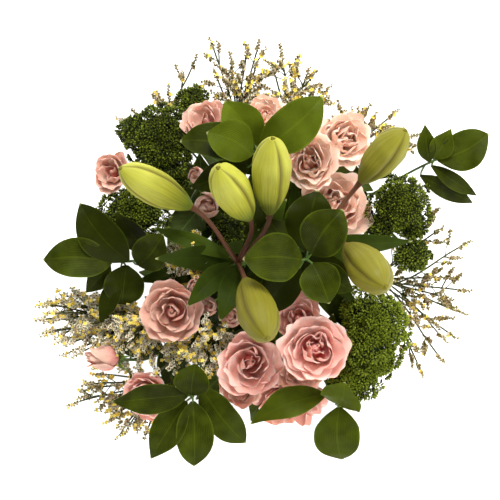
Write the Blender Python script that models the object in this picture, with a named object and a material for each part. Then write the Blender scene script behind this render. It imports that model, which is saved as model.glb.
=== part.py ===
"""A hand-tied flower bouquet that stands on its own cut stems.

Thirty stems cross in a spiral under one twine tie. Above it they spread into a round bunch of
lily buds, spray roses, ruscus, green trachelium and statice. Below it they splay to a ring of
cut ends, all in one plane, which the bunch stands on.

Lengths are in millimetres up to the last step of each object, which makes them metres.
The origin is on the floor, in the middle of the bunch. The tie is above it.
"""

import math

import bmesh
import bpy
from mathutils import Matrix, Vector
from mathutils.geometry import intersect_line_line

MM = 0.001
UP = Vector((0.0, 0.0, 1.0))
GOLDEN_ANGLE = math.radians(137.508)
GAP = 0.3

# The spiral of stems: three nested rings of straight lines that lean the same way round
TIE_Z = 155.0
SPREAD_Z = 185.0
TIE_INNER_RADIUS = 19.6
RING_LEAN = (0.08, 0.30, 0.46)
LEAST_WAIST = (3.85, 10.5)
NEST_GAP = 0.06
NEST_STEP = 0.02
RING_LEAD = (50.0, 75.0, 75.0)
RISE_SECTIONS = 4
TWINE_RADIUS = 1.4
TWINE_TURNS = 3

# Thickness of the blades, a little over life so that they are sound solids
LEAF_THICKNESS = 0.9
PETAL_THICKNESS = 0.9

COLOURS = {
    "petal_deep": ((0.74, 0.27, 0.25), 0.55),
    "petal_pale": ((0.85, 0.50, 0.40), 0.55),
    "bud": ((0.42, 0.45, 0.08), 0.45),
    "ruscus": ((0.06, 0.14, 0.02), 0.35),
    "lily_green": ((0.10, 0.16, 0.03), 0.45),
    "rose_green": ((0.12, 0.20, 0.05), 0.55),
    "trachelium": ((0.14, 0.26, 0.03), 0.65),
    "statice": ((0.55, 0.50, 0.22), 0.70),
    "twine": ((0.45, 0.32, 0.17), 0.85),
}

# Each stem: its ring, its radius, the point that it reaches and the way it arrives there
STEMS = {
    "lily_stem_west": (0, 3.5, (-22, -12, 296), (-0.15, 0.05, 1)),
    "lily_stem_east": (0, 3.5, (45, 3, 300), (0.3, 0.1, 1)),
    "rose_stem_west": (1, 2.4, (-58, -42, 255), (-0.6, -0.4, 1)),
    "rose_stem_south": (1, 2.4, (20, -86, 252), (0.2, -0.6, 1)),
    "rose_stem_northwest": (1, 2.3, (-67, 44, 234), (-0.9, 0.4, 0.7)),
    "rose_stem_northeast": (1, 2.4, (54, 82, 262), (0.5, 0.6, 1)),
    "rose_stem_east": (1, 2.4, (64, 38, 246), (0.3, 0.2, 1)),
    "ruscus_north": (1, 1.7, (-4, 88, 344), (0.0, 0.1, 1)),
    "ruscus_centre": (1, 1.7, (40, -8, 352), (0.15, 0.0, 1)),
    "trachelium_heart": (1, 2.0, (-36, 16, 252), (-0.3, 0.2, 1)),
    "statice_heart": (1, 1.4, (-60, -8, 262), (-0.6, 0.0, 1)),
    "statice_southwest": (1, 1.4, (-44, -76, 262), (-0.4, -0.6, 1)),
    "rose_stem_far_south": (2, 2.2, (6, -112, 226), (0.1, -0.9, 0.5)),
    "rose_stem_far_southwest": (2, 2.2, (-98, -100, 226), (-0.7, -0.7, 0.6)),
    "rose_stem_north": (2, 2.2, (-24, 92, 250), (-0.2, 0.7, 0.8)),
    "ruscus_west": (2, 1.8, (-140, -11, 290), (-1, 0.0, 0.6)),
    "ruscus_southwest": (2, 1.8, (-64, -136, 298), (-0.3, -0.7, 0.9)),
    "ruscus_southeast": (2, 1.8, (70, -144, 286), (0.4, -0.8, 0.8)),
    "ruscus_east": (2, 1.8, (160, 83, 284), (0.5, 0.2, 0.9)),
    "trachelium_northwest": (2, 2.2, (-87, 100, 262), (-0.6, 0.7, 0.8)),
    "trachelium_west": (2, 2.2, (-120, 33, 256), (-0.9, 0.3, 0.7)),
    "trachelium_east": (2, 2.2, (124, 38, 262), (0.9, 0.3, 0.7)),
    "trachelium_southeast": (2, 2.2, (98, -80, 264), (0.7, -0.6, 0.8)),
    "statice_north": (2, 1.4, (-24, 126, 262), (-0.1, 0.9, 0.6)),
    "statice_north_right": (2, 1.4, (28, 128, 268), (0.2, 0.9, 0.6)),
    "statice_northwest": (2, 1.4, (-90, 120, 236), (-0.7, 0.8, 0.4)),
    "statice_northeast": (2, 1.4, (92, 104, 262), (0.5, 0.7, 0.6)),
    "statice_east": (2, 1.4, (128, -32, 250), (0.9, -0.2, 0.5)),
    "statice_west": (2, 1.4, (-112, -66, 262), (-0.9, -0.5, 0.5)),
    "statice_far_southwest": (2, 1.4, (-104, -134, 232), (-0.7, -0.8, 0.3)),
}


# Solids as plain lists of points and faces


def cubic(start, start_way, end, end_way, count, pull=0.38):
    """Points from start to end on a cubic that leaves and arrives along the two ways."""
    reach = (end - start).length * pull
    a = start + start_way.normalized() * reach
    b = end - end_way.normalized() * reach
    points = []
    for i in range(count + 1):
        t = i / count
        u = 1.0 - t
        points.append(start * u**3 + a * 3 * u * u * t + b * 3 * u * t * t + end * t**3)
    return points


def skin(rings):
    """A closed body over rings of equally many points."""
    sides = len(rings[0])
    verts = [v for ring in rings for v in ring]
    faces = [tuple(reversed(range(sides)))]
    for i in range(len(rings) - 1):
        for k in range(sides):
            near = i * sides + k
            side = i * sides + (k + 1) % sides
            faces.append((near, side, side + sides, near + sides))
    last = (len(rings) - 1) * sides
    faces.append(tuple(range(last, last + sides)))
    return verts, faces


def tube(points, radii, sides, flat_foot=False):
    """A closed tube along points. A flat foot is cut level at the first point's height."""
    count = len(points)
    rings = []
    normal = None
    for i, point in enumerate(points):
        way = (points[min(i + 1, count - 1)] - points[max(i - 1, 0)]).normalized()
        if normal is None:
            normal = way.orthogonal().normalized()
        normal = (normal - way * normal.dot(way)).normalized()
        other = way.cross(normal)
        ring = []
        for k in range(sides):
            turn = math.tau * k / sides
            corner = point + (normal * math.cos(turn) + other * math.sin(turn)) * radii[i]
            if i == 0 and flat_foot:
                corner -= way * ((corner.z - point.z) / way.z)
            ring.append(corner)
        rings.append(ring)
    return skin(rings)


def spun(start, end, profile, sides, roll=0.0, ribs=(1.0,), twist=0.0):
    """A closed body round an axis. ribs gives a factor for each side in turn."""
    axis = end - start
    way = axis.normalized()
    normal = way.cross(UP if abs(way.z) < 0.99 else Vector((1, 0, 0))).normalized()
    other = way.cross(normal)
    rings = []
    for share, radius in profile:
        ring = []
        for k in range(sides):
            turn = roll + twist * share + math.tau * k / sides
            spoke = normal * math.cos(turn) + other * math.sin(turn)
            ring.append(start + axis * share + spoke * (radius * ribs[k % len(ribs)]))
        rings.append(ring)
    return skin(rings)


def sheet(rows, thickness):
    """A closed blade round a grid of points. Both faces are split into the same triangles."""
    high, wide = len(rows), len(rows[0])
    front, back = [], []
    for i in range(high):
        for j in range(wide):
            up = rows[min(i + 1, high - 1)][j] - rows[max(i - 1, 0)][j]
            across = rows[i][min(j + 1, wide - 1)] - rows[i][max(j - 1, 0)]
            offset = across.cross(up).normalized() * (thickness / 2)
            front.append(rows[i][j] + offset)
            back.append(rows[i][j] - offset)
    shift = len(front)
    faces = []
    for i in range(high - 1):
        for j in range(wide - 1):
            a, b = i * wide + j, i * wide + j + 1
            d, c = a + wide, b + wide
            for one, two, three in ((a, b, c), (a, c, d)):
                faces.append((one, two, three))
                faces.append((three + shift, two + shift, one + shift))
    rim = list(range(wide))
    rim += [i * wide + wide - 1 for i in range(1, high)]
    rim += [(high - 1) * wide + j for j in range(wide - 2, -1, -1)]
    rim += [i * wide for i in range(high - 2, 0, -1)]
    for a, b in zip(rim, rim[1:] + rim[:1]):
        faces.append((a, a + shift, b + shift, b))
    return front + back, faces


def standing(base, way):
    """The frame that turns +Z to a bloom's way and moves the origin to its base."""
    turn = UP.rotation_difference(Vector(way).normalized()).to_matrix().to_4x4()
    return Matrix.Translation(base) @ turn


def placed(shape, frame):
    verts, faces = shape
    return [frame @ v for v in verts], faces


# Blender objects


def material_of(name):
    known = bpy.data.materials.get(name)
    if known:
        return known
    colour, roughness = COLOURS[name]
    made = bpy.data.materials.new(name)
    made.diffuse_color = (*colour, 1.0)
    made.use_nodes = True
    shader = made.node_tree.nodes["Principled BSDF"]
    shader.inputs["Base Color"].default_value = (*colour, 1.0)
    shader.inputs["Roughness"].default_value = roughness
    shader.inputs["Metallic"].default_value = 0.0
    return made


def raw_object(name, shape):
    """An object of one closed shape, in millimetres, with its faces out."""
    verts, faces = shape
    mesh = bpy.data.meshes.new(name)
    mesh.from_pydata([tuple(v) for v in verts], [], faces)
    work = bmesh.new()
    work.from_mesh(mesh)
    bmesh.ops.recalc_face_normals(work, faces=work.faces)
    work.to_mesh(mesh)
    work.free()
    return bpy.data.objects.new(name, mesh)


def keep_largest(work):
    """Takes away every body of a bmesh but the largest: loose scraps and sealed hollows."""
    unseen = set(work.verts)
    bodies = []
    while unseen:
        body = [unseen.pop()]
        for vert in body:
            for edge in vert.link_edges:
                other = edge.other_vert(vert)
                if other in unseen:
                    unseen.remove(other)
                    body.append(other)
        bodies.append(body)
    bodies.sort(key=len)
    bmesh.ops.delete(work, geom=[v for body in bodies[:-1] for v in body], context="VERTS")


def fuse(name, shapes, colour):
    """One node: the Boolean union of closed shapes that overlap, in metres."""
    first = raw_object(name + "_first", shapes[0])
    bpy.context.scene.collection.objects.link(first)
    group = bpy.data.collections.new(name + "_shapes")
    bpy.context.scene.collection.children.link(group)
    for i, shape in enumerate(shapes[1:]):
        group.objects.link(raw_object(f"{name}_{i}", shape))
    if len(shapes) > 1:
        union = first.modifiers.new("union", "BOOLEAN")
        union.operation = "UNION"
        union.operand_type = "COLLECTION"
        union.collection = group
        union.solver = "MANIFOLD"
    bpy.context.view_layer.update()
    graph = bpy.context.evaluated_depsgraph_get()
    mesh = bpy.data.meshes.new_from_object(first.evaluated_get(graph))
    work = bmesh.new()
    work.from_mesh(mesh)
    keep_largest(work)
    bmesh.ops.triangulate(work, faces=work.faces)
    work.to_mesh(mesh)
    work.free()
    mesh.transform(Matrix.Scale(MM, 4))
    for obj in (first, *list(group.objects)):
        bpy.data.objects.remove(obj)
    bpy.data.collections.remove(group)
    made = bpy.data.objects.new(name, mesh)
    mesh.materials.clear()
    mesh.materials.append(material_of(colour))
    mesh.shade_smooth()
    mesh.set_sharp_from_angle(angle=math.radians(40))
    bpy.context.scene.collection.objects.link(made)
    return made


# The stems


def spiral_point(ring, waist, turn, z):
    """A point of a stem's straight stretch, which leans round the axis."""
    run = RING_LEAN[ring] * (z - TIE_Z)
    c, s = math.cos(turn), math.sin(turn)
    return Vector((waist * c - run * s, waist * s + run * c, z))


def stem_turns():
    """Each stem's place round its ring, evenly spaced in the order of the heads."""
    turns = {}
    for ring, lead in enumerate(RING_LEAD):
        heading = {n: math.atan2(s[2][1], s[2][0]) for n, s in STEMS.items() if s[0] == ring}
        names = sorted(heading, key=heading.get)
        step = math.tau / len(names)
        offsets = [heading[n] - math.radians(lead) - i * step for i, n in enumerate(names)]
        start = sum(offsets) / len(names)
        for i, name in enumerate(names):
            turns[name] = start + i * step
    return turns


STEM_TURNS = stem_turns()


def clearance(name, waist, other, other_waist):
    """The gap between the straight stretches of two stems."""
    ends = []
    for stem_name, at in ((name, waist), (other, other_waist)):
        for z in (0.0, SPREAD_Z):
            ends.append(spiral_point(STEMS[stem_name][0], at, STEM_TURNS[stem_name], z))
    near, far = intersect_line_line(*ends)
    return (near - far).length - STEMS[name][1] - STEMS[other][1]


def stem_waists():
    """Each stem's distance from the axis at the tie: each ring lies against the one outside it."""
    waists = {n: TIE_INNER_RADIUS - GAP - s[1] for n, s in STEMS.items() if s[0] == 2}
    for ring in (1, 0):
        outside = [n for n in waists if STEMS[n][0] == ring + 1]
        for name in [n for n, s in STEMS.items() if s[0] == ring]:
            waist = LEAST_WAIST[ring]
            while all(clearance(name, waist + NEST_STEP, n, waists[n]) > NEST_GAP for n in outside):
                waist += NEST_STEP
            waists[name] = waist
    return waists


STEM_WAISTS = stem_waists()


def stem_path(name):
    """The foot, the top of the straight stretch and the curve on to the head."""
    ring, radius, head, arrival = STEMS[name]
    waist, turn = STEM_WAISTS[name], STEM_TURNS[name]
    foot = spiral_point(ring, waist, turn, 0.0)
    spread = spiral_point(ring, waist, turn, SPREAD_Z)
    rise = cubic(spread, spread - foot, Vector(head), Vector(arrival), RISE_SECTIONS)
    return [foot] + rise


def stem(name, taper=0.75, sides=5):
    """The stem as a tube from its level cut end to its head, and its path."""
    path = stem_path(name)
    radius = STEMS[name][1]
    last = len(path) - 1
    radii = [radius, radius] + [radius * (1 - (1 - taper) * i / last) for i in range(1, last)]
    return tube(path, radii, sides, flat_foot=True), path


def nearest_on(path, point):
    """The point of a stem above the tie that is nearest to a leaf's base."""
    spots = []
    for a, b in zip(path[1:], path[2:]):
        along = b - a
        share = max(0.0, min(1.0, (point - a).dot(along) / along.length_squared))
        spots.append(a + along * share)
    return min(spots, key=lambda spot: (spot - point).length)


# Lily buds: round, with three grooves where the outer tepals meet

BUD_SIDES = 12
BUD_RIBS = (1.03, 0.99, 0.90, 0.99)
BUD_PROFILE = (
    (0.0, 0.26),
    (0.07, 0.46),
    (0.24, 0.79),
    (0.48, 1.0),
    (0.74, 0.91),
    (0.93, 0.51),
    (1.0, 0.18),
)
# base, tip, diameter, roll in degrees
LILY_BUDS = {
    "lily_bud_west": ((-66, 40, 318), (-127, 73, 362), 31, 20),
    "lily_bud_northwest": ((-12, 29, 338), (-39, 72, 402), 33, 0),
    "lily_bud_north": ((7, 34, 338), (9, 98, 396), 34, 0),
    "lily_bud_northeast": ((91, 63, 318), (128, 107, 362), 31, 0),
    "lily_bud_east": ((78, 3, 322), (109, -33, 383), 35, 0),
    "lily_bud_south": ((-15, -28, 330), (4, -78, 390), 35, 0),
}


def lily_bud(name):
    base, tip, diameter, roll = LILY_BUDS[name]
    profile = [(share, factor * diameter / 2) for share, factor in BUD_PROFILE]
    shape = spun(Vector(base), Vector(tip), profile, BUD_SIDES, math.radians(roll), BUD_RIBS)
    return fuse(name, [shape], "bud")


# Leaves. Stations run from the base to the tip, each with its share of the half width.

RUSCUS_STATIONS = ((0.0, 0.10), (0.24, 0.80), (0.52, 1.0), (0.82, 0.58), (1.0, 0.05))
NARROW_STATIONS = ((0.0, 0.10), (0.32, 0.95), (0.70, 0.80), (1.0, 0.05))
NARROW_WIDTH = 32.0
LILY_STATIONS = ((0.0, 0.30), (0.30, 0.92), (0.62, 0.90), (0.86, 0.48), (1.0, 0.06))


def leaf(base, tip, width, stations, root=None, bow=0.10, roll=0.0, fold=0.18):
    """A blade arched along its length and folded at the rib, with its stalk back to the root."""
    base, tip = Vector(base), Vector(tip)
    along = tip - base
    way = along.normalized()
    face = UP - way * UP.dot(way)
    face = Matrix.Rotation(math.radians(roll), 3, way) @ face.normalized()
    side = way.cross(face)
    grid = []
    for share, wide in stations:
        half = max(0.8, width / 2 * wide)
        rib = base + along * share + face * (bow * along.length * 4 * share * (1 - share))
        lift = face * (fold * half)
        grid.append([rib - side * half + lift, rib, rib + side * half + lift])
    if root is not None and (root - base).length > 1.5:
        grid.insert(0, [root - side * 0.8, root, root + side * 0.8])
    return sheet(grid, LEAF_THICKNESS)


# Plain leaves low on the rose and lily stems, which close the bunch between its heads.
# Each one: base on its stem, tip, width.
LOW_LEAVES = {
    "lily_stem_east": [((39, 2, 284), (138, 8, 305), 20), ((27, 1, 257), (38, 100, 260), 25)],
    "lily_stem_west": [((-16, -11, 263), (-117, -29, 286), 22), ((-17, -11, 267), (-96, -8, 323), 25)],
    "rose_stem_far_south": [
        ((3, -86, 217), (-64, -89, 219), 33),
        ((3, -79, 215), (49, -123, 224), 33),
        ((6, -109, 225), (-10, -163, 236), 28),
    ],
    "rose_stem_far_southwest": [
        ((-94, -95, 224), (-151, -81, 227), 31),
        ((-58, -53, 213), (-56, -117, 214), 33),
        ((-83, -84, 219), (-88, -137, 248), 29),
    ],
    "rose_stem_northeast": [((52, 79, 259), (105, 56, 261), 31)],
    "rose_stem_northwest": [((-57, 42, 229), (-89, -2, 256), 33), ((-60, 43, 231), (-59, 91, 252), 29)],
    "rose_stem_west": [((-51, -37, 246), (-116, -21, 253), 31)],
}
LOW_STATIONS = ((0.0, 0.10), (0.42, 1.0), (1.0, 0.06))
LOW_BOW = 0.06


def low_leaves(name):
    shapes = []
    for base, tip, width in LOW_LEAVES.get(name, []):
        base, along = Vector(base), Vector(tip) - Vector(base)
        side = along.cross(UP).normalized()
        face = side.cross(along.normalized())
        grid = []
        for share, wide in LOW_STATIONS:
            half = side * max(0.8, width / 2 * wide)
            rib = base + along * share + face * (LOW_BOW * along.length * 4 * share * (1 - share))
            grid.append([rib + half, rib - half])
        shapes.append(sheet(grid, LEAF_THICKNESS))
    return shapes


# Each ruscus leaf: base, tip, width, bow, roll
RUSCUS_LEAVES = {
    "ruscus_north": [
        ((-1, 91, 343), (55, 138, 352), 41, 0.08, 0),
        ((-6, 94, 338), (-34, 134, 350), 36, 0.06, -10),
        ((-9, 86, 344), (-50, 106, 350), 37, 0.10, 0),
        ((-10, 92, 330), (-75, 100, 326), 36, 0.08, 10),
        ((-12, 76, 318), (-66, 57, 306), 28, 0.06, 0),
    ],
    "ruscus_west": [
        ((-124, -10, 292), (-169, 43, 300), 38, 0.08, 0),
        ((-139, -11, 294), (-203, -9, 296), 37, 0.10, 0),
        ((-115, -14, 292), (-91, 14, 314), 34, 0.06, 0),
        ((-126, -14, 286), (-131, -52, 278), 38, 0.10, 0),
        ((-133, -24, 282), (-151, -69, 284), 18, 0.06, 0),
        ((-141, -13, 290), (-164, -40, 284), 20, 0.06, 0),
    ],
    "ruscus_centre": [
        ((36, -9, 354), (-17, -8, 368), 44, 0.12, 0),
        ((44, -4, 356), (72, 36, 368), 42, 0.12, 0),
        ((45, -12, 352), (60, -48, 360), 37, 0.12, 0),
        ((41, -2, 346), (50, 54, 350), 44, 0.06, 0),
        ((34, -16, 338), (3, -56, 326), 36, 0.06, 0),
        ((48, -13, 338), (83, -38, 336), 26, 0.05, 0),
    ],
    "ruscus_southwest": [
        ((-68, -134, 298), (-139, -141, 298), 29, 0.10, -25),
        ((-70, -140, 294), (-104, -195, 284), 31, 0.08, 0),
        ((-64, -140, 296), (-63, -202, 286), 35, 0.08, 0),
        ((-56, -128, 290), (-15, -181, 280), 33, 0.08, 0),
        ((-65, -134, 302), (-61, -104, 320), 33, 0.10, 0),
    ],
    "ruscus_southeast": [
        ((60, -134, 290), (-11, -160, 300), 31, 0.08, 20),
        ((70, -143, 290), (76, -122, 312), 40, 0.10, 0),
        ((72, -146, 286), (75, -198, 266), 43, 0.10, 0),
    ],
    "ruscus_east": [
        ((163, 84, 286), (211, 108, 290), 37, 0.08, 0),
        ((160, 85, 286), (175, 112, 298), 22, 0.06, 0),
        ((156, 82, 284), (151, 116, 296), 18, 0.06, 0),
        ((158, 79, 280), (203, 51, 264), 15, 0.10, 0),
        ((148, 70, 276), (200, 44, 258), 18, 0.10, 0),
    ],
}


def ruscus(name):
    body, path = stem(name, taper=0.6, sides=4)
    shapes = [body]
    for base, tip, width, bow, roll in RUSCUS_LEAVES[name]:
        root = nearest_on(path, Vector(base))
        stations = RUSCUS_STATIONS if width > NARROW_WIDTH else NARROW_STATIONS
        shapes.append(leaf(base, tip, width, stations, root, bow, roll))
    return fuse(name, shapes, "ruscus")


# Lily stems: each carries its buds on stalks, and long leaves

LILY_BRANCHES = {
    "lily_stem_west": ["lily_bud_west", "lily_bud_northwest", "lily_bud_north", "lily_bud_south"],
    "lily_stem_east": ["lily_bud_northeast", "lily_bud_east"],
}
LILY_LEAVES = {
    "lily_stem_west": [
        ((-28, -14, 294), (-68, -51, 320), 22, 0.10, 0),
        ((-21, -18, 294), (-38, -64, 322), 24, 0.10, 0),
        ((-30, -6, 288), (-100, 20, 292), 16, 0.16, 0),
        ((-18, -6, 292), (22, 46, 322), 22, 0.06, 0),
    ],
    "lily_stem_east": [((51, 0, 298), (100, -4, 298), 20, 0.08, 0)],
}
STALK_RADIUS = 2.6


def lily_stem(name):
    body, path = stem(name, taper=0.9, sides=6)
    shapes = [body]
    top = path[-1]
    for bud in LILY_BRANCHES[name]:
        base, tip = Vector(LILY_BUDS[bud][0]), Vector(LILY_BUDS[bud][1])
        way = (tip - base).normalized()
        end = base - way * GAP
        out = (end - top).normalized() + UP * 0.5
        points = cubic(top - UP * 2.0, out, end - way * 4.0, way, 3) + [end]
        shapes.append(tube(points, [STALK_RADIUS * f for f in (1, 0.9, 0.9, 1, 1.3)], 5))
    for base, tip, width, bow, roll in LILY_LEAVES[name]:
        root = nearest_on(path, Vector(base))
        shapes.append(leaf(base, tip, width, LILY_STATIONS, root, bow, roll, fold=0.25))
    return fuse(name, shapes + low_leaves(name), "lily_green")


# Roses. Petal 0 is the innermost, and each next one stands a golden angle further round.

# middle of the open mouth, way that it faces, radius, petals, colour
ROSES = {
    "rose_northwest": ((-54, 122, 302), (-0.20, 0.40, 1), 22, 6, "petal_deep"),
    "rose_far_west": ((-144, 73, 276), (-0.9, 0.15, 0.7), 20, 6, "petal_deep"),
    "rose_north": ((2, 127, 300), (0.0, 0.4, 1), 21, 6, "petal_pale"),
    "rose_northeast": ((79, 103, 296), (0.25, 0.35, 1), 28, 7, "petal_pale"),
    "rose_upper_right": ((44, 82, 322), (-0.05, 0.05, 1), 28, 8, "petal_pale"),
    "rose_right": ((70, 42, 292), (0.2, 0.0, 1), 35, 8, "petal_pale"),
    "rose_left": ((-86, -59, 312), (-0.15, -0.1, 1), 30, 8, "petal_deep"),
    "rose_lower_middle": ((-13, -107, 312), (-0.05, -0.15, 1), 31, 8, "petal_deep"),
    "rose_middle": ((33, -62, 312), (-0.1, 0.15, 1), 25, 7, "petal_deep"),
    "rose_best": ((51, -94, 333), (0.15, -0.15, 1), 33, 9, "petal_deep"),
    "rose_under_best": ((34, -114, 296), (0.0, -0.3, 1), 24, 6, "petal_deep"),
    "rose_far_south": ((28, -152, 254), (0.1, -0.8, 0.7), 34, 7, "petal_deep"),
    "rose_south": ((-22, -134, 276), (-0.3, -0.5, 0.8), 21, 6, "petal_deep"),
    "rose_southwest": ((-110, -142, 266), (-0.4, -0.5, 1), 26, 6, "petal_deep"),
}
# middle of the tip, way, radius, length
ROSE_BUDS = {
    "rose_bud_far_southwest": ((-166, -101, 280), (-1, 0.05, 0.35), 12, 33),
    "rose_bud_heart": ((-62, -31, 312), (-0.1, 0.2, 1), 9, 22),
    "rose_bud_heart_low": ((-49, -54, 308), (0.1, -0.1, 1), 9, 22),
    "rose_bud_heart_south": ((-28, -63, 308), (0.1, -0.1, 1), 11, 24),
    "rose_bud_northwest": ((-63, 72, 296), (-0.2, 0.3, 1), 8, 18),
    "rose_bud_dark": ((-50, 43, 290), (0.1, 0.1, 1), 12, 24),
}
ROSE_FOOT_RADIUS = 2.8
ROSE_HEIGHT = 0.78
OUTER_PETALS = 5


def flower_base(name):
    """Where a rose or bud sits on its hip, and the way that it faces."""
    if name in ROSES:
        mouth, way, radius = ROSES[name][:3]
        height = radius * ROSE_HEIGHT
    else:
        mouth, way, _, height = ROSE_BUDS[name]
    way = Vector(way).normalized()
    return Vector(mouth) - way * height, way


def rose_petal(radius, index, count):
    """A grid of points for one petal, in the bloom's own frame, its base at the origin."""
    share = (index + 0.5) / count
    outer = index >= count - OUTER_PETALS
    if outer:
        rim = radius * (0.86 + 0.16 * (index - count + OUTER_PETALS) / (OUTER_PETALS - 1))
        spread = math.radians(54)
    else:
        inner = (index + 1) / (count - OUTER_PETALS + 1)
        rim = radius * (0.14 + 0.50 * inner)
        spread = math.radians(104 - 40 * inner)
    height = radius * ROSE_HEIGHT * (1.06 - 0.36 * share**1.5)
    lip = max(0.0, share - 0.4) * 1.6
    rows, columns = (2, 2) if outer and count > OUTER_PETALS + 1 else (1, 2)
    grid = []
    for i in range(rows + 1):
        line = []
        for j in range(columns + 1):
            side = 2.0 * j / columns - 1.0
            up = (0.3 + 0.7 * i / rows) * (1.0 - 0.12 * side * side)
            foot = ROSE_FOOT_RADIUS * 0.6
            out = foot + (rim - foot) * up**0.8 * (1.0 + 0.02 * side)
            z = 0.6 + height * up**1.2 - radius * 0.10 * lip * up**8
            turn = index * GOLDEN_ANGLE + side * spread * (0.4 + 0.6 * up**0.6)
            line.append(Vector((out * math.cos(turn), out * math.sin(turn), z)))
        grid.append(line)
    return grid


def rose(name):
    radius, petals, colour = ROSES[name][2:]
    base, way = flower_base(name)
    frame = standing(base, way)
    heart = ((0.0, ROSE_FOOT_RADIUS), (0.28, radius * 0.40), (0.42, radius * 0.2), (1.0, radius * 0.12))
    top = Vector((0, 0, radius * ROSE_HEIGHT))
    shapes = [placed(spun(Vector(), top, heart, 5), frame)]
    for k in range(petals):
        shapes.append(placed(sheet(rose_petal(radius, k, petals), PETAL_THICKNESS), frame))
    return fuse(name, shapes, colour)


BUD_EGG = ((0.0, 0.24), (0.16, 0.78), (0.42, 1.0), (0.75, 0.82), (1.0, 0.42))


def rose_bud(name):
    """A closed bud: petals wrapped round each other in a slow twist."""
    radius, length = ROSE_BUDS[name][2:]
    base, way = flower_base(name)
    frame = standing(base, way)
    egg = [(share, radius * factor) for share, factor in BUD_EGG]
    top = Vector((0, 0, length))
    shape = placed(spun(Vector(), top, egg, 8, 0.0, (1.06, 0.90), 1.0), frame)
    return fuse(name, [shape], "petal_deep")


ROSE_SPRAYS = {
    "rose_stem_west": ("rose_left", "rose_bud_heart", "rose_bud_heart_low", "rose_bud_heart_south"),
    "rose_stem_south": ("rose_lower_middle", "rose_middle", "rose_best", "rose_under_best"),
    "rose_stem_northwest": ("rose_far_west", "rose_bud_northwest", "rose_bud_dark"),
    "rose_stem_northeast": ("rose_northeast", "rose_upper_right"),
    "rose_stem_east": ("rose_right",),
    "rose_stem_far_south": ("rose_far_south", "rose_south"),
    "rose_stem_far_southwest": ("rose_southwest", "rose_bud_far_southwest"),
    "rose_stem_north": ("rose_northwest", "rose_north"),
}
HIP_RADIUS = 3.8
HIP_LENGTH = 7.0
SEPAL_LENGTH = 14.0


def rose_branch(start, out, base, way):
    """A stalk that ends in the hip under a bloom, with five sepals that point out and down."""
    foot = base - way * HIP_LENGTH
    points = cubic(start, out, foot, way, 3)
    verts, faces = tube(points, (1.6, 1.4, 1.4, 1.5), 5)
    faces.pop()
    last = len(verts) - 5
    middle = points[-1]
    spokes = [v - middle for v in verts[last:]]
    spokes = [(v - way * v.dot(way)).normalized() for v in spokes]
    sepals, top = len(verts), len(verts) + 10
    for k, spoke in enumerate(spokes):
        between = (spoke + spokes[(k + 1) % 5]).normalized()
        verts.append(foot + way * 3.6 + spoke * HIP_RADIUS)
        verts.append(foot + way * (3.6 - SEPAL_LENGTH * 0.35) + between * SEPAL_LENGTH)
    for spoke in spokes:
        verts.append(base - way * GAP + spoke * ROSE_FOOT_RADIUS)
    for k in range(5):
        low, next_low = last + k, last + (k + 1) % 5
        notch, tip, next_notch = sepals + 2 * k, sepals + 2 * k + 1, sepals + (2 * k + 2) % 10
        high, next_high = top + k, top + (k + 1) % 5
        faces += [(low, tip, notch), (low, next_low, tip), (next_low, next_notch, tip)]
        faces += [(notch, tip, high), (tip, next_high, high), (tip, next_notch, next_high)]
    faces.append(tuple(range(top, top + 5)))
    return verts, faces


def rose_stem(name):
    body, path = stem(name)
    shapes = [body]
    rising = (path[-1] - path[-2]).normalized()
    start = path[-1] - rising * 2.0
    for head in ROSE_SPRAYS[name]:
        base, way = flower_base(head)
        out = (base - start).normalized() + rising * 0.6
        shapes.append(rose_branch(start, out, base, way))
    return fuse(name, shapes + low_leaves(name), "rose_green")


# Trachelium: a dome of small florets, as a body whose points stand out

# each head's lobes: centre, half sizes (x, y, up, down), points
TRACHELIUM = {
    "trachelium_northwest": [
        ((-94, 101, 272), (37, 38, 22, 18), 190),
        ((-65, 140, 262), (16, 14, 13, 12), 40),
    ],
    "trachelium_west": [((-120, 34, 262), (38, 25, 16, 16), 140)],
    "trachelium_heart": [((-34, 14, 260), (16, 15, 13, 14), 50)],
    "trachelium_east": [
        ((129, 42, 272), (31, 26, 20, 18), 130),
        ((142, -5, 270), (20, 16, 13, 12), 50),
    ],
    "trachelium_southeast": [
        ((102, -72, 276), (33, 40, 22, 18), 180),
        ((84, -122, 262), (26, 26, 16, 14), 80),
    ],
}
FLORET_DIP = 0.85
UNDERSIDE = -0.25


def hull_faces(directions):
    """The triangles that join points of a sphere to their neighbours."""
    work = bmesh.new()
    for way in directions:
        work.verts.new(way)
    bmesh.ops.convex_hull(work, input=work.verts)
    work.verts.index_update()
    faces = [tuple(v.index for v in face.verts) for face in work.faces]
    work.free()
    return faces


def floret_dome(centre, sizes, count):
    """A lumpy dome over a pointed foot. The florets are the points with no raised neighbour."""
    wide, deep, up, down = sizes
    ways = [Vector((0, 0, -1))]
    for i in range(count):
        z = 1.0 - 2.0 * (i + 0.5) / count
        if z < UNDERSIDE:
            break
        ring = math.sqrt(1.0 - z * z)
        turn = i * GOLDEN_ANGLE
        ways.append(Vector((ring * math.cos(turn), ring * math.sin(turn), z)))
    faces = hull_faces(ways)
    near = [set() for _ in ways]
    for face in faces:
        for i in face:
            near[i] |= set(face)
    raised = set()
    verts = []
    for i, way in enumerate(ways):
        if not near[i] & raised:
            raised.add(i)
        tall = up if way.z > 0 else down
        reach = 1.0 / math.hypot(way.x / wide, way.y / deep, way.z / tall)
        turn = math.atan2(way.y, way.x)
        lump = 1.0 + 0.07 * math.sin(3 * turn + centre[0]) + 0.05 * math.sin(5 * turn + centre[1])
        dip = 1.0 if i in raised else FLORET_DIP
        verts.append(Vector(centre) + way * reach * lump * dip)
    return verts, faces


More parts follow.
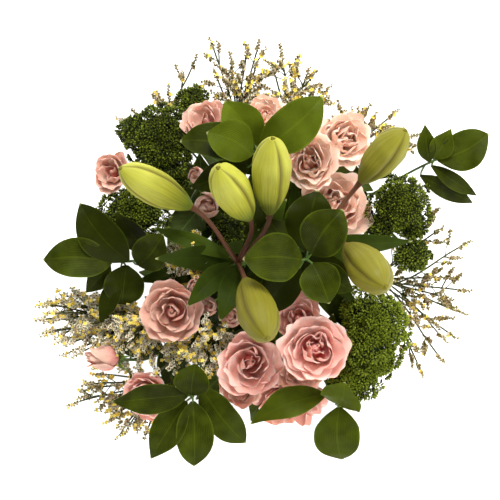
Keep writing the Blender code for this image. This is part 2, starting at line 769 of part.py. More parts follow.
def trachelium(name):
    body, path = stem(name, taper=0.8)
    shapes = [body]
    root, rising = path[-2], path[-2] - path[-3]
    for centre, sizes, count in TRACHELIUM[name]:
        shapes.append(floret_dome(centre, sizes, count))
        under = Vector(centre) - UP * sizes[3] * 0.4
        shapes.append(tube(cubic(root, rising, under, UP, 3), (1.6, 1.5, 1.5, 1.4), 4))
    return fuse(name, shapes, "trachelium")


# Statice: stalks that fork and end in short spikes of small papery florets

# each spray's long spikes, each with the tips of the side spikes that leave it
STATICE_SPIKES = {
    "statice_north": [
        ((-49, 201, 262), [(-41, 196, 266)]),
        ((-13, 193, 268), [(-20, 178, 274)]),
        ((-2, 197, 268), [(5, 190, 270)]),
        ((-10, 164, 280), []),
    ],
    "statice_north_right": [
        ((17, 194, 270), [(14, 178, 280)]),
        ((45, 171, 274), [(53, 168, 276)]),
        ((66, 155, 268), [(69, 138, 264)]),
        ((20, 160, 284), []),
    ],
    "statice_northwest": [
        ((-61, 186, 250), []),
        ((-89, 158, 244), []),
        ((-139, 127, 232), [(-127, 110, 238)]),
    ],
    "statice_northeast": [
        ((84, 135, 264), []),
        ((108, 130, 266), []),
        ((130, 133, 258), []),
        ((150, 110, 250), [(150, 98, 254)]),
    ],
    "statice_east": [
        ((199, 9, 250), [(190, -8, 246)]),
        ((199, -39, 242), [(182, -16, 250)]),
        ((196, -63, 238), [(186, -55, 250)]),
        ((169, -74, 246), [(176, -88, 240)]),
        ((175, -108, 230), [(162, -88, 244)]),
        ((155, -120, 236), [(142, -112, 246)]),
        ((168, 40, 258), [(164, 30, 262)]),
    ],
    "statice_west": [
        ((-210, -50, 262), [(-206, -62, 254)]),
        ((-207, -77, 254), [(-196, -84, 264)]),
        ((-176, -95, 268), [(-190, -100, 252)]),
        ((-168, -50, 270), [(-150, -58, 282)]),
        ((-152, -88, 282), [(-138, -74, 286)]),
        ((-128, -92, 286), []),
    ],
    "statice_southwest": [
        ((-56, -76, 312), [(-64, -90, 302)]),
        ((-44, -84, 308), [(-40, -100, 298)]),
        ((-78, -96, 298), []),
        ((-56, -106, 296), []),
    ],
    "statice_heart": [
        ((-86, -4, 288), []),
        ((-72, 6, 286), [(-66, -8, 292)]),
    ],
    "statice_far_southwest": [
        ((-176, -142, 232), [(-160, -128, 244)]),
        ((-142, -160, 226), []),
        ((-134, -178, 220), [(-120, -172, 226)]),
        ((-106, -186, 222), []),
    ],
}
SPIKE_LENGTH = 15.0
SPIKE_RADIUS = 2.7
FORK = 0.55
FORK_STEP = 4.0


def spike(root, way, tip, bends):
    """A thin stalk from the root that ends in two whorls of florets. Also its path."""
    arrive = ((tip - root).normalized() + UP * 0.2).normalized()
    neck = tip - arrive * SPIKE_LENGTH
    path = cubic(root, way, neck, arrive, bends)
    whorls = ((0.30, 1.0), (0.62, 0.45), (1.0, 0.60))
    points = path + [neck + (tip - neck) * share for share, _ in whorls]
    radii = [0.75] * len(path) + [SPIKE_RADIUS * wide for _, wide in whorls]
    return tube(points, radii, 3), path


def statice(name):
    body, path = stem(name, taper=0.7, sides=4)
    shapes = [body]
    rising = (path[-1] - path[-2]).normalized()
    for i, (tip, side_tips) in enumerate(STATICE_SPIKES[name]):
        tip = Vector(tip)
        root = path[-1] - rising * (1.5 + FORK_STEP * i)
        shape, leader = spike(root, rising + (tip - root).normalized() * 2.0, tip, 2)
        shapes.append(shape)
        for side_tip in side_tips:
            fork = leader[1].lerp(leader[2], FORK)
            shapes.append(spike(fork, Vector(side_tip) - fork, Vector(side_tip), 1)[0])
    return fuse(name, shapes, "statice")


# The tie: turns of twine drawn side by side round the outer ring, and its knot

TIE_STEPS = 16
KNOT_PROFILE = ((0.0, 1.6), (0.25, 3.2), (0.5, 2.6), (0.75, 3.2), (1.0, 1.6))


def twine_band():
    """The turns of twine as one ring, flat inside and ribbed outside."""
    inside, valley, crest = (TIE_INNER_RADIUS + TWINE_RADIUS * f for f in (0.0, 0.9, 1.9))
    low = TIE_Z - TWINE_TURNS * TWINE_RADIUS
    outline = [(inside, low), (valley, low)]
    for turn in range(TWINE_TURNS):
        outline.append((crest, low + TWINE_RADIUS * (2 * turn + 1)))
        outline.append((valley, low + TWINE_RADIUS * (2 * turn + 2)))
    outline.append((inside, low + 2 * TWINE_RADIUS * TWINE_TURNS))
    verts, faces = [], []
    for i in range(TIE_STEPS):
        turn = math.tau * i / TIE_STEPS
        out = Vector((math.cos(turn), math.sin(turn), 0)) / math.cos(math.pi / TIE_STEPS)
        verts += [out * r + UP * z for r, z in outline]
        here = i * len(outline)
        there = (i + 1) % TIE_STEPS * len(outline)
        for k in range(len(outline)):
            after = (k + 1) % len(outline)
            faces.append((here + k, here + after, there + after, there + k))
    return verts, faces


def twine_tie():
    out = TIE_INNER_RADIUS + TWINE_RADIUS * 1.6
    knot = spun(Vector((-5, -out, TIE_Z - 1)), Vector((5, -out, TIE_Z + 1)), KNOT_PROFILE, 6)
    shapes = [twine_band(), knot]
    for side, drop in ((-1, 24), (1, 18)):
        start = Vector((side * 2, -out - 1, TIE_Z - 1))
        end = Vector((side * 13, -out - 9, TIE_Z - drop))
        points = cubic(start, Vector((side, -1.5, 0.3)), end, Vector((side * 0.2, 0, -1)), 4)
        shapes.append(tube(points, [TWINE_RADIUS] * 5, 5))
    return fuse("twine_tie", shapes, "twine")


def main():
    for obj in list(bpy.data.objects):
        bpy.data.objects.remove(obj)
    for name in LILY_BUDS:
        lily_bud(name)
    for name in LILY_BRANCHES:
        lily_stem(name)
    for name in RUSCUS_LEAVES:
        ruscus(name)
    for name in ROSES:
        rose(name)
    for name in ROSE_BUDS:
        rose_bud(name)
    for name in ROSE_SPRAYS:
        rose_stem(name)
    for name in TRACHELIUM:
        trachelium(name)
    for name in STATICE_SPIKES:
        statice(name)
    twine_tie()


main()
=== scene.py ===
"""The looks of the flower bouquet: petals, leaves, florets, stems, twine and the studio round them.

Each piece keeps the place and the form of the solid that it stands for. Lengths are in millimetres
until a piece's mesh is made, which turns them to metres.
"""

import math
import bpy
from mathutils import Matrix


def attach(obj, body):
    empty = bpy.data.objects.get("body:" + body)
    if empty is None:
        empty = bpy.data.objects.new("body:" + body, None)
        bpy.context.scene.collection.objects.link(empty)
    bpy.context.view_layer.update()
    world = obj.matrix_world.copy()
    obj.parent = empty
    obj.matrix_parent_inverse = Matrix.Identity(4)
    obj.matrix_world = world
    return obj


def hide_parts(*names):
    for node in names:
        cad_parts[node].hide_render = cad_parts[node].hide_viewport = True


bl_info = {
    "name": "Hand-Tied Bouquet",
    "version": (1, 0, 0),
    "blender": (4, 5, 0),
    "location": "3D View > Sidebar > Bouquet",
    "description": "Builds a hand-tied bouquet of spray roses, lily buds, ruscus, trachelium and statice",
    "category": "Add Mesh",
}

import bpy
import numpy as np
from bpy.props import FloatProperty, FloatVectorProperty, IntProperty, PointerProperty
from mathutils import Vector
from mathutils.geometry import intersect_line_line

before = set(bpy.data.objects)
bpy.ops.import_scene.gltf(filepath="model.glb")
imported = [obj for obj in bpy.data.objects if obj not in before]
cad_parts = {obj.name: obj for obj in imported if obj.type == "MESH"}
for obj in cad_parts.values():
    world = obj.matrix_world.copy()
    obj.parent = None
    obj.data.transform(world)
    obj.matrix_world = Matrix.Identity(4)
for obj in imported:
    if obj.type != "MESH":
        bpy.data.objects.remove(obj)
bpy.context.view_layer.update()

MM = 0.001
UP = np.array((0.0, 0.0, 1.0))
GOLDEN_ANGLE = math.radians(137.508)
# Between a bloom and the hip or stalk under it
GAP = 0.3


def linear(code):
    """The linear colour of an sRGB hex value."""
    parts = [int(code[i : i + 2], 16) / 255 for i in (1, 3, 5)]
    return tuple(c / 12.92 if c <= 0.04045 else ((c + 0.055) / 1.055) ** 2.4 for c in parts)


def colour_setting(name, about, code):
    """A colour that a user can change."""
    return FloatVectorProperty(
        name=name, description=about, subtype="COLOR", min=0.0, max=1.0, default=linear(code)
    )


def length_setting(name, about, default, least, most):
    """A length that a user can change, in metres."""
    return FloatProperty(name=name, description=about, default=default, min=least, max=most, unit="LENGTH")


def share_setting(name, about, default, most):
    """A share that a user can change, from 0 up."""
    return FloatProperty(name=name, description=about, default=default, min=0.0, max=most, subtype="FACTOR")


# Sizes and colours that a user would change


class RoseSettings(bpy.types.PropertyGroup):
    petals: IntProperty(
        name="Petals", description="Petals in a rose of 30 mm radius", default=22, min=12, max=60
    )
    ruffle: share_setting(
        "Ruffle", "How far a lip waves in and out, as a share of the rose's radius", 0.05, 0.15
    )
    petal_thickness: length_setting(
        "Petal Thickness", "Thickness of a petal away from its edge", 0.0004, 0.0002, 0.001
    )
    heart: colour_setting("Heart", "Petals in the heart of a deep rose", "#EE8888")
    rim: colour_setting("Rim", "Outer petals of a deep rose", "#F3C0B2")
    pale_heart: colour_setting("Pale Heart", "Petals in the heart of a pale rose", "#EEA690")
    pale_rim: colour_setting("Pale Rim", "Outer petals of a pale rose", "#F6D0BC")
    dusky_heart: colour_setting("Dusky Heart", "Inner petals of the roses low in the bunch", "#C8726A")
    dusky_rim: colour_setting("Dusky Rim", "Outer petals of the roses low in the bunch", "#DCAE9A")
    stem: colour_setting("Rose Stem", "Stems, hips and sepals", "#48602A")
    leaf: colour_setting("Rose Leaf", "Leaves on the rose stems", "#36430F")


class LilySettings(bpy.types.PropertyGroup):
    groove_depth: share_setting(
        "Groove Depth", "Depth of the grooves between the outer tepals, as a share of the radius", 0.085, 0.3
    )
    bud: colour_setting("Bud", "Broad faces of the tepals", "#A09F31")
    bud_green: colour_setting("Bud Green", "Foot of the bud and its shaded streaks", "#6C7A20")
    # The seam colour is a brown tinge and painted shade in the grooves
    seam: colour_setting("Seam", "The grooves where two tepals meet", "#5E5418")
    # The stalk and leaf colours are darkened as painted shade, as they lie in shade under the buds
    stalk: colour_setting("Stalk", "The stalks under the buds", "#623C26")
    leaf: colour_setting("Lily Leaf", "Leaves on the lily stems", "#2C380B")


class FoliageSettings(bpy.types.PropertyGroup):
    vein_spacing: length_setting(
        "Vein Spacing", "Distance between the veins of a ruscus leaf at its widest", 0.0016, 0.0005, 0.005
    )
    # Painted shade and light: the colour of ruscus leaves in shade, and of the lit ones
    ruscus: colour_setting("Ruscus", "Ruscus leaves in the shade", "#252B04")
    ruscus_painted_light: colour_setting("Ruscus Lit", "The lighter ruscus leaves on top", "#5C6A15")
    # Painted shade and light: the florets' colour in shade, and the lit colour of their tips
    trachelium: colour_setting("Trachelium", "Florets in the shade", "#2C3609")
    trachelium_painted_light: colour_setting("Trachelium Lit", "Tips of the florets", "#8A9A28")


class StaticeSettings(bpy.types.PropertyGroup):
    floret_length: length_setting("Floret Length", "Length of one papery floret", 0.0034, 0.002, 0.006)
    calyx: colour_setting("Calyx", "The papery funnels", "#FAEAD4")
    corolla: colour_setting("Corolla", "The small flowers in the funnels", "#F3D440")
    bract: colour_setting("Bract", "The scales under the funnels", "#6A6626")
    stalk: colour_setting("Statice Stalk", "The thin stalks", "#3E421C")


class TieSettings(bpy.types.PropertyGroup):
    twist: length_setting("Twist", "Length of one full twist of the twine", 0.0075, 0.003, 0.02)
    jute: colour_setting("Jute", "Light fibres of the twine", "#B99A68")
    jute_dark: colour_setting("Jute Dark", "Dark fibres of the twine", "#7A5C34")


class StageSettings(bpy.types.PropertyGroup):
    field: length_setting(
        "Field", "Width that the camera sees at the height of the flowers", 0.460, 0.2, 1.0
    )
    distance: length_setting("Distance", "From the camera down to the flowers", 2.0, 0.5, 5.0)
    floor: colour_setting("Floor", "The plain studio floor", "#F7F7F5")
    floor_light: FloatProperty(
        name="Floor Light",
        description="Strength of the light that reaches only the floor",
        default=3.4,
        min=0.0,
        max=10.0,
    )


SETTINGS = {
    "bouquet_roses": RoseSettings,
    "bouquet_lilies": LilySettings,
    "bouquet_foliage": FoliageSettings,
    "bouquet_statice": StaticeSettings,
    "bouquet_tie": TieSettings,
    "bouquet_stage": StageSettings,
}


# Shapes as arrays of points in millimetres


def unit(v):
    """Each vector at a length of 1."""
    return v / np.maximum(np.linalg.norm(v, axis=-1, keepdims=True), 1e-12)


def ease(low, high, x):
    """A smooth step from 0 at low to 1 at high."""
    t = np.clip((x - low) / (high - low), 0.0, 1.0)
    return t * t * (3.0 - 2.0 * t)


def smooth_line(stations, t):
    """A smooth curve through (share, value) stations, read at t."""
    x, y = np.array(stations, float).T
    slope = np.gradient(y, x)
    i = np.clip(np.searchsorted(x, t, side="right") - 1, 0, len(x) - 2)
    width = x[i + 1] - x[i]
    s = (t - x[i]) / width
    low = (1 + 2 * s) * (1 - s) ** 2 * y[i] + s * (1 - s) ** 2 * width * slope[i]
    return low + s * s * (3 - 2 * s) * y[i + 1] + s * s * (s - 1) * width * slope[i + 1]


def cubic(start, start_way, end, end_way, count, pull=0.38):
    """Points from start to end on a cubic that leaves and arrives along the two ways."""
    start, end = np.array(start, float), np.array(end, float)
    reach = np.linalg.norm(end - start) * pull
    a = start + unit(np.array(start_way, float)) * reach
    b = end - unit(np.array(end_way, float)) * reach
    t = np.linspace(0.0, 1.0, count + 1)[:, None]
    u = 1.0 - t
    return start * u**3 + a * 3 * u * u * t + b * 3 * u * t * t + end * t**3


def draws_for(name):
    """The random draws of one piece, which are the same in each run."""
    return np.random.default_rng(sum(map(ord, name)))


def standing(way):
    """Three rows: the axes of a bloom that faces way, its own +Z last."""
    turn = Vector((0, 0, 1)).rotation_difference(Vector(way).normalized()).to_matrix()
    return np.array(turn.transposed())


def to_scene(name, data, place=(0.0, 0.0, 0.0)):
    """A new object of the scene, at its place."""
    made = bpy.data.objects.new(name, data)
    made.location = place
    bpy.context.scene.collection.objects.link(made)
    return made


class Piece:
    """The surfaces of one piece, gathered before its mesh is made."""

    def __init__(self):
        self.points, self.faces, self.uvs, self.finishes = [], [], [], []
        self.marks = {"tint": [], "layer": [], "size": []}
        self.count = 0

    def add(self, points, faces, uv, tint=0.5, layer=0.0, finish=0, size=30.0):
        """faces is (n, 3) or (n, 4). uv has a pair for each point, or for each corner of each face."""
        points, faces, uv = np.reshape(points, (-1, 3)), np.asarray(faces), np.asarray(uv, float)
        self.points.append(points)
        self.faces.append(faces + self.count)
        self.uvs.append((uv[faces] if uv.ndim == 2 else uv).reshape(-1, 2))
        self.finishes.append(np.full(len(faces), finish))
        for name, value in (("tint", tint), ("layer", layer), ("size", size)):
            self.marks[name].append(np.broadcast_to(np.ravel(value), len(points)))
        self.count += len(points)

    def make(self, name, materials, nodes, sharp=38.0):
        """The piece as a mesh object that rides on the bunch and stands for the CAD nodes."""
        mesh = bpy.data.meshes.new(name)
        points = np.concatenate(self.points) * MM
        mesh.vertices.add(len(points))
        mesh.vertices.foreach_set("co", points.astype(np.float32).ravel())
        sizes = np.concatenate([np.full(len(f), f.shape[1]) for f in self.faces])
        corners = np.concatenate([f.ravel() for f in self.faces])
        mesh.loops.add(len(corners))
        mesh.loops.foreach_set("vertex_index", corners.astype(np.int32))
        mesh.polygons.add(len(sizes))
        mesh.polygons.foreach_set("loop_start", (np.cumsum(sizes) - sizes).astype(np.int32))
        mesh.polygons.foreach_set("material_index", np.concatenate(self.finishes).astype(np.int32))
        mesh.update(calc_edges=True)
        layer = mesh.uv_layers.new(name="Pattern")
        layer.data.foreach_set("uv", np.concatenate(self.uvs).astype(np.float32).ravel())
        for mark, values in self.marks.items():
            attribute = mesh.attributes.new(mark, "FLOAT", "POINT")
            attribute.data.foreach_set("value", np.concatenate(values).astype(np.float32))
        for material in materials:
            mesh.materials.append(material)
        mesh.shade_smooth()
        mesh.set_sharp_from_angle(angle=math.radians(sharp))
        piece = to_scene(name, mesh)
        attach(piece, "root")
        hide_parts(*nodes)
        return piece


def lattice(rows, columns, closed=False):
    """Quads over a grid of points, with a pattern pair for each corner of each."""
    wide = columns if closed else columns - 1
    i, j = np.meshgrid(np.arange(rows - 1), np.arange(wide), indexing="ij")
    i, j = i.ravel(), j.ravel()
    right = (j + 1) % columns
    near, side = i * columns + j, i * columns + right
    quads = np.stack([near, side, side + columns, near + columns], 1)
    u = np.stack([j, j + 1, j + 1, j], 1) / wide
    v = np.stack([i, i, i + 1, i + 1], 1) / (rows - 1)
    return quads, np.stack([u, v], -1)


def add_blades(piece, middle, thickness, tint=0.5, layer=0.0, finish=0, size=30.0):
    """Thin closed blades round the grids middle[blade, row, column]. All blades are alike in size."""
    count, rows, columns, _ = middle.shape
    across = np.gradient(middle, axis=2)
    normal = unit(np.cross(across, np.gradient(middle, axis=1)))
    edge = 1.0 - np.abs(np.linspace(-1, 1, columns)) ** 6
    lip = 1.0 - np.linspace(0, 1, rows) ** 8
    thin = np.multiply.outer(lip, edge) * 0.65 + 0.35
    half = normal * (thin * thickness / 2)[None, :, :, None]
    points = np.stack([middle + half, middle - half], 1).reshape(count, -1, 3)
    quads, _ = lattice(rows, columns)
    shift = rows * columns
    rim = list(range(columns))
    rim += [i * columns + columns - 1 for i in range(1, rows)]
    rim += [(rows - 1) * columns + j for j in range(columns - 2, -1, -1)]
    rim += [i * columns for i in range(rows - 2, 0, -1)]
    rim = np.array(rim)
    after = np.roll(rim, -1)
    edge_quads = np.stack([rim, rim + shift, after + shift, after], 1)
    one = np.concatenate([quads, quads[:, ::-1] + shift, edge_quads])
    faces = (one[None] + np.arange(count)[:, None, None] * 2 * shift).reshape(-1, 4)
    v, u = np.meshgrid(np.linspace(0, 1, rows), np.linspace(0, 1, columns), indexing="ij")
    uv = np.tile(np.stack([u.ravel(), v.ravel()], 1), (2 * count, 1))
    tint, layer = (np.repeat(np.broadcast_to(value, count), 2 * shift) for value in (tint, layer))
    piece.add(points, faces, uv, tint, layer, finish, size)


def frames_along(path, start=None):
    """Two unit vectors across each point of a path, carried along it without twisting."""
    ways = unit(np.gradient(path, axis=0))
    if start is None:
        start = np.cross(ways[0], (0.0, 0.0, 1.0) if abs(ways[0][2]) < 0.9 else (1.0, 0.0, 0.0))
    normal = start
    normals = []
    for way in ways:
        normal = normal - way * np.dot(normal, way)
        normal = normal / max(np.linalg.norm(normal), 1e-9)
        normals.append(normal)
    normals = np.array(normals)
    return normals, np.cross(ways, normals)


def add_tube(
    piece, path, radius, sides=10, tint=0.5, layer=0.0, finish=0, capped=True, relief=None, start=None
):
    """A tube along a path. radius and layer have a value for each point, relief a factor for each corner."""
    path = np.asarray(path, float)
    normal, other = frames_along(path, start)
    turn = np.arange(sides) * math.tau / sides
    ring = normal[:, None] * np.cos(turn)[None, :, None] + other[:, None] * np.sin(turn)[None, :, None]
    reach = np.broadcast_to(np.asarray(radius, float), len(path))[:, None]
    if relief is not None:
        reach = reach * relief
    points = path[:, None] + ring * np.broadcast_to(reach, (len(path), sides))[:, :, None]
    quads, uv = lattice(len(path), sides, closed=True)
    layer = np.asarray(layer, float)
    layer = np.broadcast_to(layer if layer.ndim == 2 else np.reshape(layer, (-1, 1)), (len(path), sides))
    piece.add(points, quads, uv, tint, layer, finish)
    if capped:
        for at, end in ((path[0], 0), (path[-1], -1)):
            fan = np.array([(k, (k + 1) % sides, sides) for k in range(sides)])
            fan = fan if end else fan[:, ::-1]
            ring_points = np.concatenate([points[end], at[None]])
            piece.add(ring_points, fan, np.full((sides + 1, 2), 0.5), tint, layer[end].mean(), finish)


def add_copies(piece, pattern, places, axes, sizes, tint=0.5, layer=0.0, finish=0):
    """Copies of one small mesh. axes holds, for each copy, the three rows of its own directions."""
    points, faces, uv = pattern
    count, size = len(places), len(points)
    scaled = points[None] * np.reshape(sizes, (count, -1, 1) if np.ndim(sizes) == 1 else (count, 1, 3))
    moved = np.einsum("nvk,nkd->nvd", scaled, axes) + np.asarray(places)[:, None]
    all_faces = (faces[None] + (np.arange(count) * size)[:, None, None]).reshape(-1, faces.shape[1])
    tint = np.repeat(np.broadcast_to(tint, count), size)
    layer = np.repeat(np.broadcast_to(layer, count), size)
    piece.add(moved, all_faces, np.tile(uv, (count, 1)), tint, layer, finish)


def axes_towards(ways, spins):
    """For each way, three rows: two directions across it, turned by the spin, and the way itself."""
    ways = unit(np.asarray(ways, float))
    helper = np.where(np.abs(ways[:, 2:3]) < 0.9, [[0.0, 0.0, 1.0]], [[1.0, 0.0, 0.0]])
    side = unit(np.cross(helper, ways))
    other = np.cross(ways, side)
    c, s = np.cos(spins)[:, None], np.sin(spins)[:, None]
    return np.stack([side * c + other * s, other * c - side * s, ways], 1)


# Where everything is, as in the solids

# The tie, and how each of the three rings of stems leans and lies at it
TIE_Z = 155.0
SPREAD_Z = 185.0
TIE_INNER_RADIUS = 19.6
RING_LEAN = (0.08, 0.30, 0.46)
LEAST_WAIST = (3.85, 10.5)
NEST_GAP = 0.06
NEST_STEP = 0.02
RING_LEAD = (50.0, 75.0, 75.0)
# Each stem: its ring, its radius, the point that it reaches and the way it arrives there
STEMS = {
    "lily_stem_west": (0, 3.5, (-22, -12, 296), (-0.15, 0.05, 1)),
    "lily_stem_east": (0, 3.5, (45, 3, 300), (0.3, 0.1, 1)),
    "rose_stem_west": (1, 2.4, (-58, -42, 255), (-0.6, -0.4, 1)),
    "rose_stem_south": (1, 2.4, (20, -86, 252), (0.2, -0.6, 1)),
    "rose_stem_northwest": (1, 2.3, (-67, 44, 234), (-0.9, 0.4, 0.7)),
    "rose_stem_northeast": (1, 2.4, (54, 82, 262), (0.5, 0.6, 1)),
    "rose_stem_east": (1, 2.4, (64, 38, 246), (0.3, 0.2, 1)),
    "ruscus_north": (1, 1.7, (-4, 88, 344), (0.0, 0.1, 1)),
    "ruscus_centre": (1, 1.7, (40, -8, 352), (0.15, 0.0, 1)),
    "trachelium_heart": (1, 2.0, (-36, 16, 252), (-0.3, 0.2, 1)),
    "statice_heart": (1, 1.4, (-60, -8, 262), (-0.6, 0.0, 1)),
    "statice_southwest": (1, 1.4, (-44, -76, 262), (-0.4, -0.6, 1)),
    "rose_stem_far_south": (2, 2.2, (6, -112, 226), (0.1, -0.9, 0.5)),
    "rose_stem_far_southwest": (2, 2.2, (-98, -100, 226), (-0.7, -0.7, 0.6)),
    "rose_stem_north": (2, 2.2, (-24, 92, 250), (-0.2, 0.7, 0.8)),
    "ruscus_west": (2, 1.8, (-140, -11, 290), (-1, 0.0, 0.6)),
    "ruscus_southwest": (2, 1.8, (-64, -136, 298), (-0.3, -0.7, 0.9)),
    "ruscus_southeast": (2, 1.8, (70, -144, 286), (0.4, -0.8, 0.8)),
    "ruscus_east": (2, 1.8, (160, 83, 284), (0.5, 0.2, 0.9)),
    "trachelium_northwest": (2, 2.2, (-87, 100, 262), (-0.6, 0.7, 0.8)),
    "trachelium_west": (2, 2.2, (-120, 33, 256), (-0.9, 0.3, 0.7)),
    "trachelium_east": (2, 2.2, (124, 38, 262), (0.9, 0.3, 0.7)),
    "trachelium_southeast": (2, 2.2, (98, -80, 264), (0.7, -0.6, 0.8)),
    "statice_north": (2, 1.4, (-24, 126, 262), (-0.1, 0.9, 0.6)),
    "statice_north_right": (2, 1.4, (28, 128, 268), (0.2, 0.9, 0.6)),
    "statice_northwest": (2, 1.4, (-90, 120, 236), (-0.7, 0.8, 0.4)),
    "statice_northeast": (2, 1.4, (92, 104, 262), (0.5, 0.7, 0.6)),
    "statice_east": (2, 1.4, (128, -32, 250), (0.9, -0.2, 0.5)),
    "statice_west": (2, 1.4, (-112, -66, 262), (-0.9, -0.5, 0.5)),
    "statice_far_southwest": (2, 1.4, (-104, -134, 232), (-0.7, -0.8, 0.3)),
}
# Each bud: its base, its tip, its diameter, its roll in degrees, and how far it has turned to gold
LILY_BUDS = {
    "lily_bud_west": ((-66, 40, 318), (-127, 73, 362), 31, 20, 0.08),
    "lily_bud_northwest": ((-12, 29, 338), (-39, 72, 402), 33, 0, 0.0),
    "lily_bud_north": ((7, 34, 338), (9, 98, 396), 34, 0, 0.10),
    "lily_bud_northeast": ((91, 63, 318), (128, 107, 362), 31, 0, 0.65),
    "lily_bud_east": ((78, 3, 322), (109, -33, 383), 35, 0, 0.82),
    "lily_bud_south": ((-15, -28, 330), (4, -78, 390), 35, 0, 0.86),
}
BUD_PROFILE = ((0.0, 0.26), (0.07, 0.46), (0.24, 0.79), (0.48, 1.0), (0.74, 0.91), (0.93, 0.51), (1.0, 0.18))
LILY_BRANCHES = {
    "lily_stem_west": ["lily_bud_west", "lily_bud_northwest", "lily_bud_north", "lily_bud_south"],
    "lily_stem_east": ["lily_bud_northeast", "lily_bud_east"],
}
# Each leaf: base, tip, width, bow, roll
LILY_LEAVES = {
    "lily_stem_west": [
        ((-28, -14, 294), (-68, -51, 320), 22, 0.10, 0),
        ((-21, -18, 294), (-38, -64, 322), 24, 0.10, 0),
        ((-30, -6, 288), (-100, 20, 292), 16, 0.16, 0),
        ((-18, -6, 292), (22, 46, 322), 22, 0.06, 0),
    ],
    "lily_stem_east": [((51, 0, 298), (100, -4, 298), 20, 0.08, 0)],
}
RUSCUS_LEAVES = {
    "ruscus_north": [
        ((-1, 91, 343), (55, 138, 352), 41, 0.08, 0),
        ((-6, 94, 338), (-34, 134, 350), 36, 0.06, -10),
        ((-9, 86, 344), (-50, 106, 350), 37, 0.10, 0),
        ((-10, 92, 330), (-75, 100, 326), 36, 0.08, 10),
        ((-12, 76, 318), (-66, 57, 306), 28, 0.06, 0),
    ],
    "ruscus_west": [
        ((-124, -10, 292), (-169, 43, 300), 38, 0.08, 0),
        ((-139, -11, 294), (-203, -9, 296), 37, 0.10, 0),
        ((-115, -14, 292), (-91, 14, 314), 34, 0.06, 0),
        ((-126, -14, 286), (-131, -52, 278), 38, 0.10, 0),
        ((-133, -24, 282), (-151, -69, 284), 18, 0.06, 0),
        ((-141, -13, 290), (-164, -40, 284), 20, 0.06, 0),
    ],
    "ruscus_centre": [
        ((36, -9, 354), (-17, -8, 368), 44, 0.12, 0),
        ((44, -4, 356), (72, 36, 368), 42, 0.12, 0),
        ((45, -12, 352), (60, -48, 360), 37, 0.12, 0),
        ((41, -2, 346), (50, 54, 350), 44, 0.06, 0),
        ((34, -16, 338), (3, -56, 326), 36, 0.06, 0),
        ((48, -13, 338), (83, -38, 336), 26, 0.05, 0),
    ],
    "ruscus_southwest": [
        ((-68, -134, 298), (-139, -141, 298), 29, 0.10, -25),
        ((-70, -140, 294), (-104, -195, 284), 31, 0.08, 0),
        ((-64, -140, 296), (-63, -202, 286), 35, 0.08, 0),
        ((-56, -128, 290), (-15, -181, 280), 33, 0.08, 0),
        ((-65, -134, 302), (-61, -104, 320), 33, 0.10, 0),
    ],
    "ruscus_southeast": [
        ((60, -134, 290), (-11, -160, 300), 31, 0.08, 20),
        ((70, -143, 290), (76, -122, 312), 40, 0.10, 0),
        ((72, -146, 286), (75, -198, 266), 43, 0.10, 0),
    ],
    "ruscus_east": [
        ((163, 84, 286), (211, 108, 290), 37, 0.08, 0),
        ((160, 85, 286), (175, 112, 298), 22, 0.06, 0),
        ((156, 82, 284), (151, 116, 296), 18, 0.06, 0),
        ((158, 79, 280), (203, 51, 264), 15, 0.10, 0),
        ((148, 70, 276), (200, 44, 258), 18, 0.10, 0),
    ],
}
# Each low leaf: base, tip, width
LOW_LEAVES = {
    "lily_stem_east": [
        ((39, 2, 284), (138, 8, 305), 20),
        ((38, -8, 262), (90, -80, 268), 27),
        ((27, 1, 257), (38, 100, 260), 25),
    ],
    "lily_stem_west": [((-16, -11, 263), (-117, -29, 286), 22), ((-17, -11, 267), (-96, -8, 323), 25)],
    "rose_stem_far_south": [
        ((3, -86, 217), (-64, -89, 219), 33),
        ((3, -79, 215), (49, -123, 224), 33),
        ((6, -109, 225), (-10, -163, 236), 28),
        ((-8, -96, 220), (-62, -142, 240), 31),
    ],
    "rose_stem_far_southwest": [
        ((-94, -95, 224), (-151, -81, 227), 31),
        ((-58, -53, 213), (-56, -117, 214), 33),
        ((-83, -84, 219), (-88, -137, 248), 29),
    ],
    "rose_stem_northeast": [((52, 79, 259), (105, 56, 261), 31)],
    "rose_stem_northwest": [((-57, 42, 229), (-89, -2, 256), 33), ((-60, 43, 231), (-59, 91, 252), 29)],
    "rose_stem_west": [((-51, -37, 246), (-116, -21, 253), 31)],
}
# Each rose: middle of its mouth, the way it faces, radius, colour
ROSES = {
    "rose_northwest": ((-54, 122, 302), (-0.20, 0.40, 1), 22, "deep"),
    "rose_far_west": ((-144, 73, 276), (-0.55, 0.1, 1), 20, "deep"),
    "rose_north": ((2, 127, 300), (0.0, 0.4, 1), 21, "pale"),
    "rose_northeast": ((79, 103, 296), (0.30, 0.12, 1), 28, "pale"),
    "rose_upper_right": ((44, 82, 322), (-0.05, 0.15, 1), 28, "pale"),
    "rose_right": ((70, 42, 292), (0.14, 0.14, 1), 35, "pale"),
    "rose_left": ((-86, -59, 312), (-0.15, -0.1, 1), 30, "deep"),
    "rose_lower_middle": ((-13, -107, 312), (-0.05, -0.15, 1), 31, "deep"),
    "rose_middle": ((33, -62, 312), (-0.1, 0.15, 1), 25, "deep"),
    "rose_best": ((51, -94, 333), (0.15, -0.15, 1), 33, "deep"),
    "rose_under_best": ((34, -114, 296), (0.0, -0.3, 1), 24, "deep"),
    "rose_far_south": ((28, -152, 254), (0.1, -0.8, 0.7), 34, "deep"),
    "rose_south": ((-22, -134, 276), (-0.3, -0.5, 0.8), 21, "deep"),
    "rose_southwest": ((-110, -142, 266), (-0.4, -0.5, 1), 26, "deep"),
}
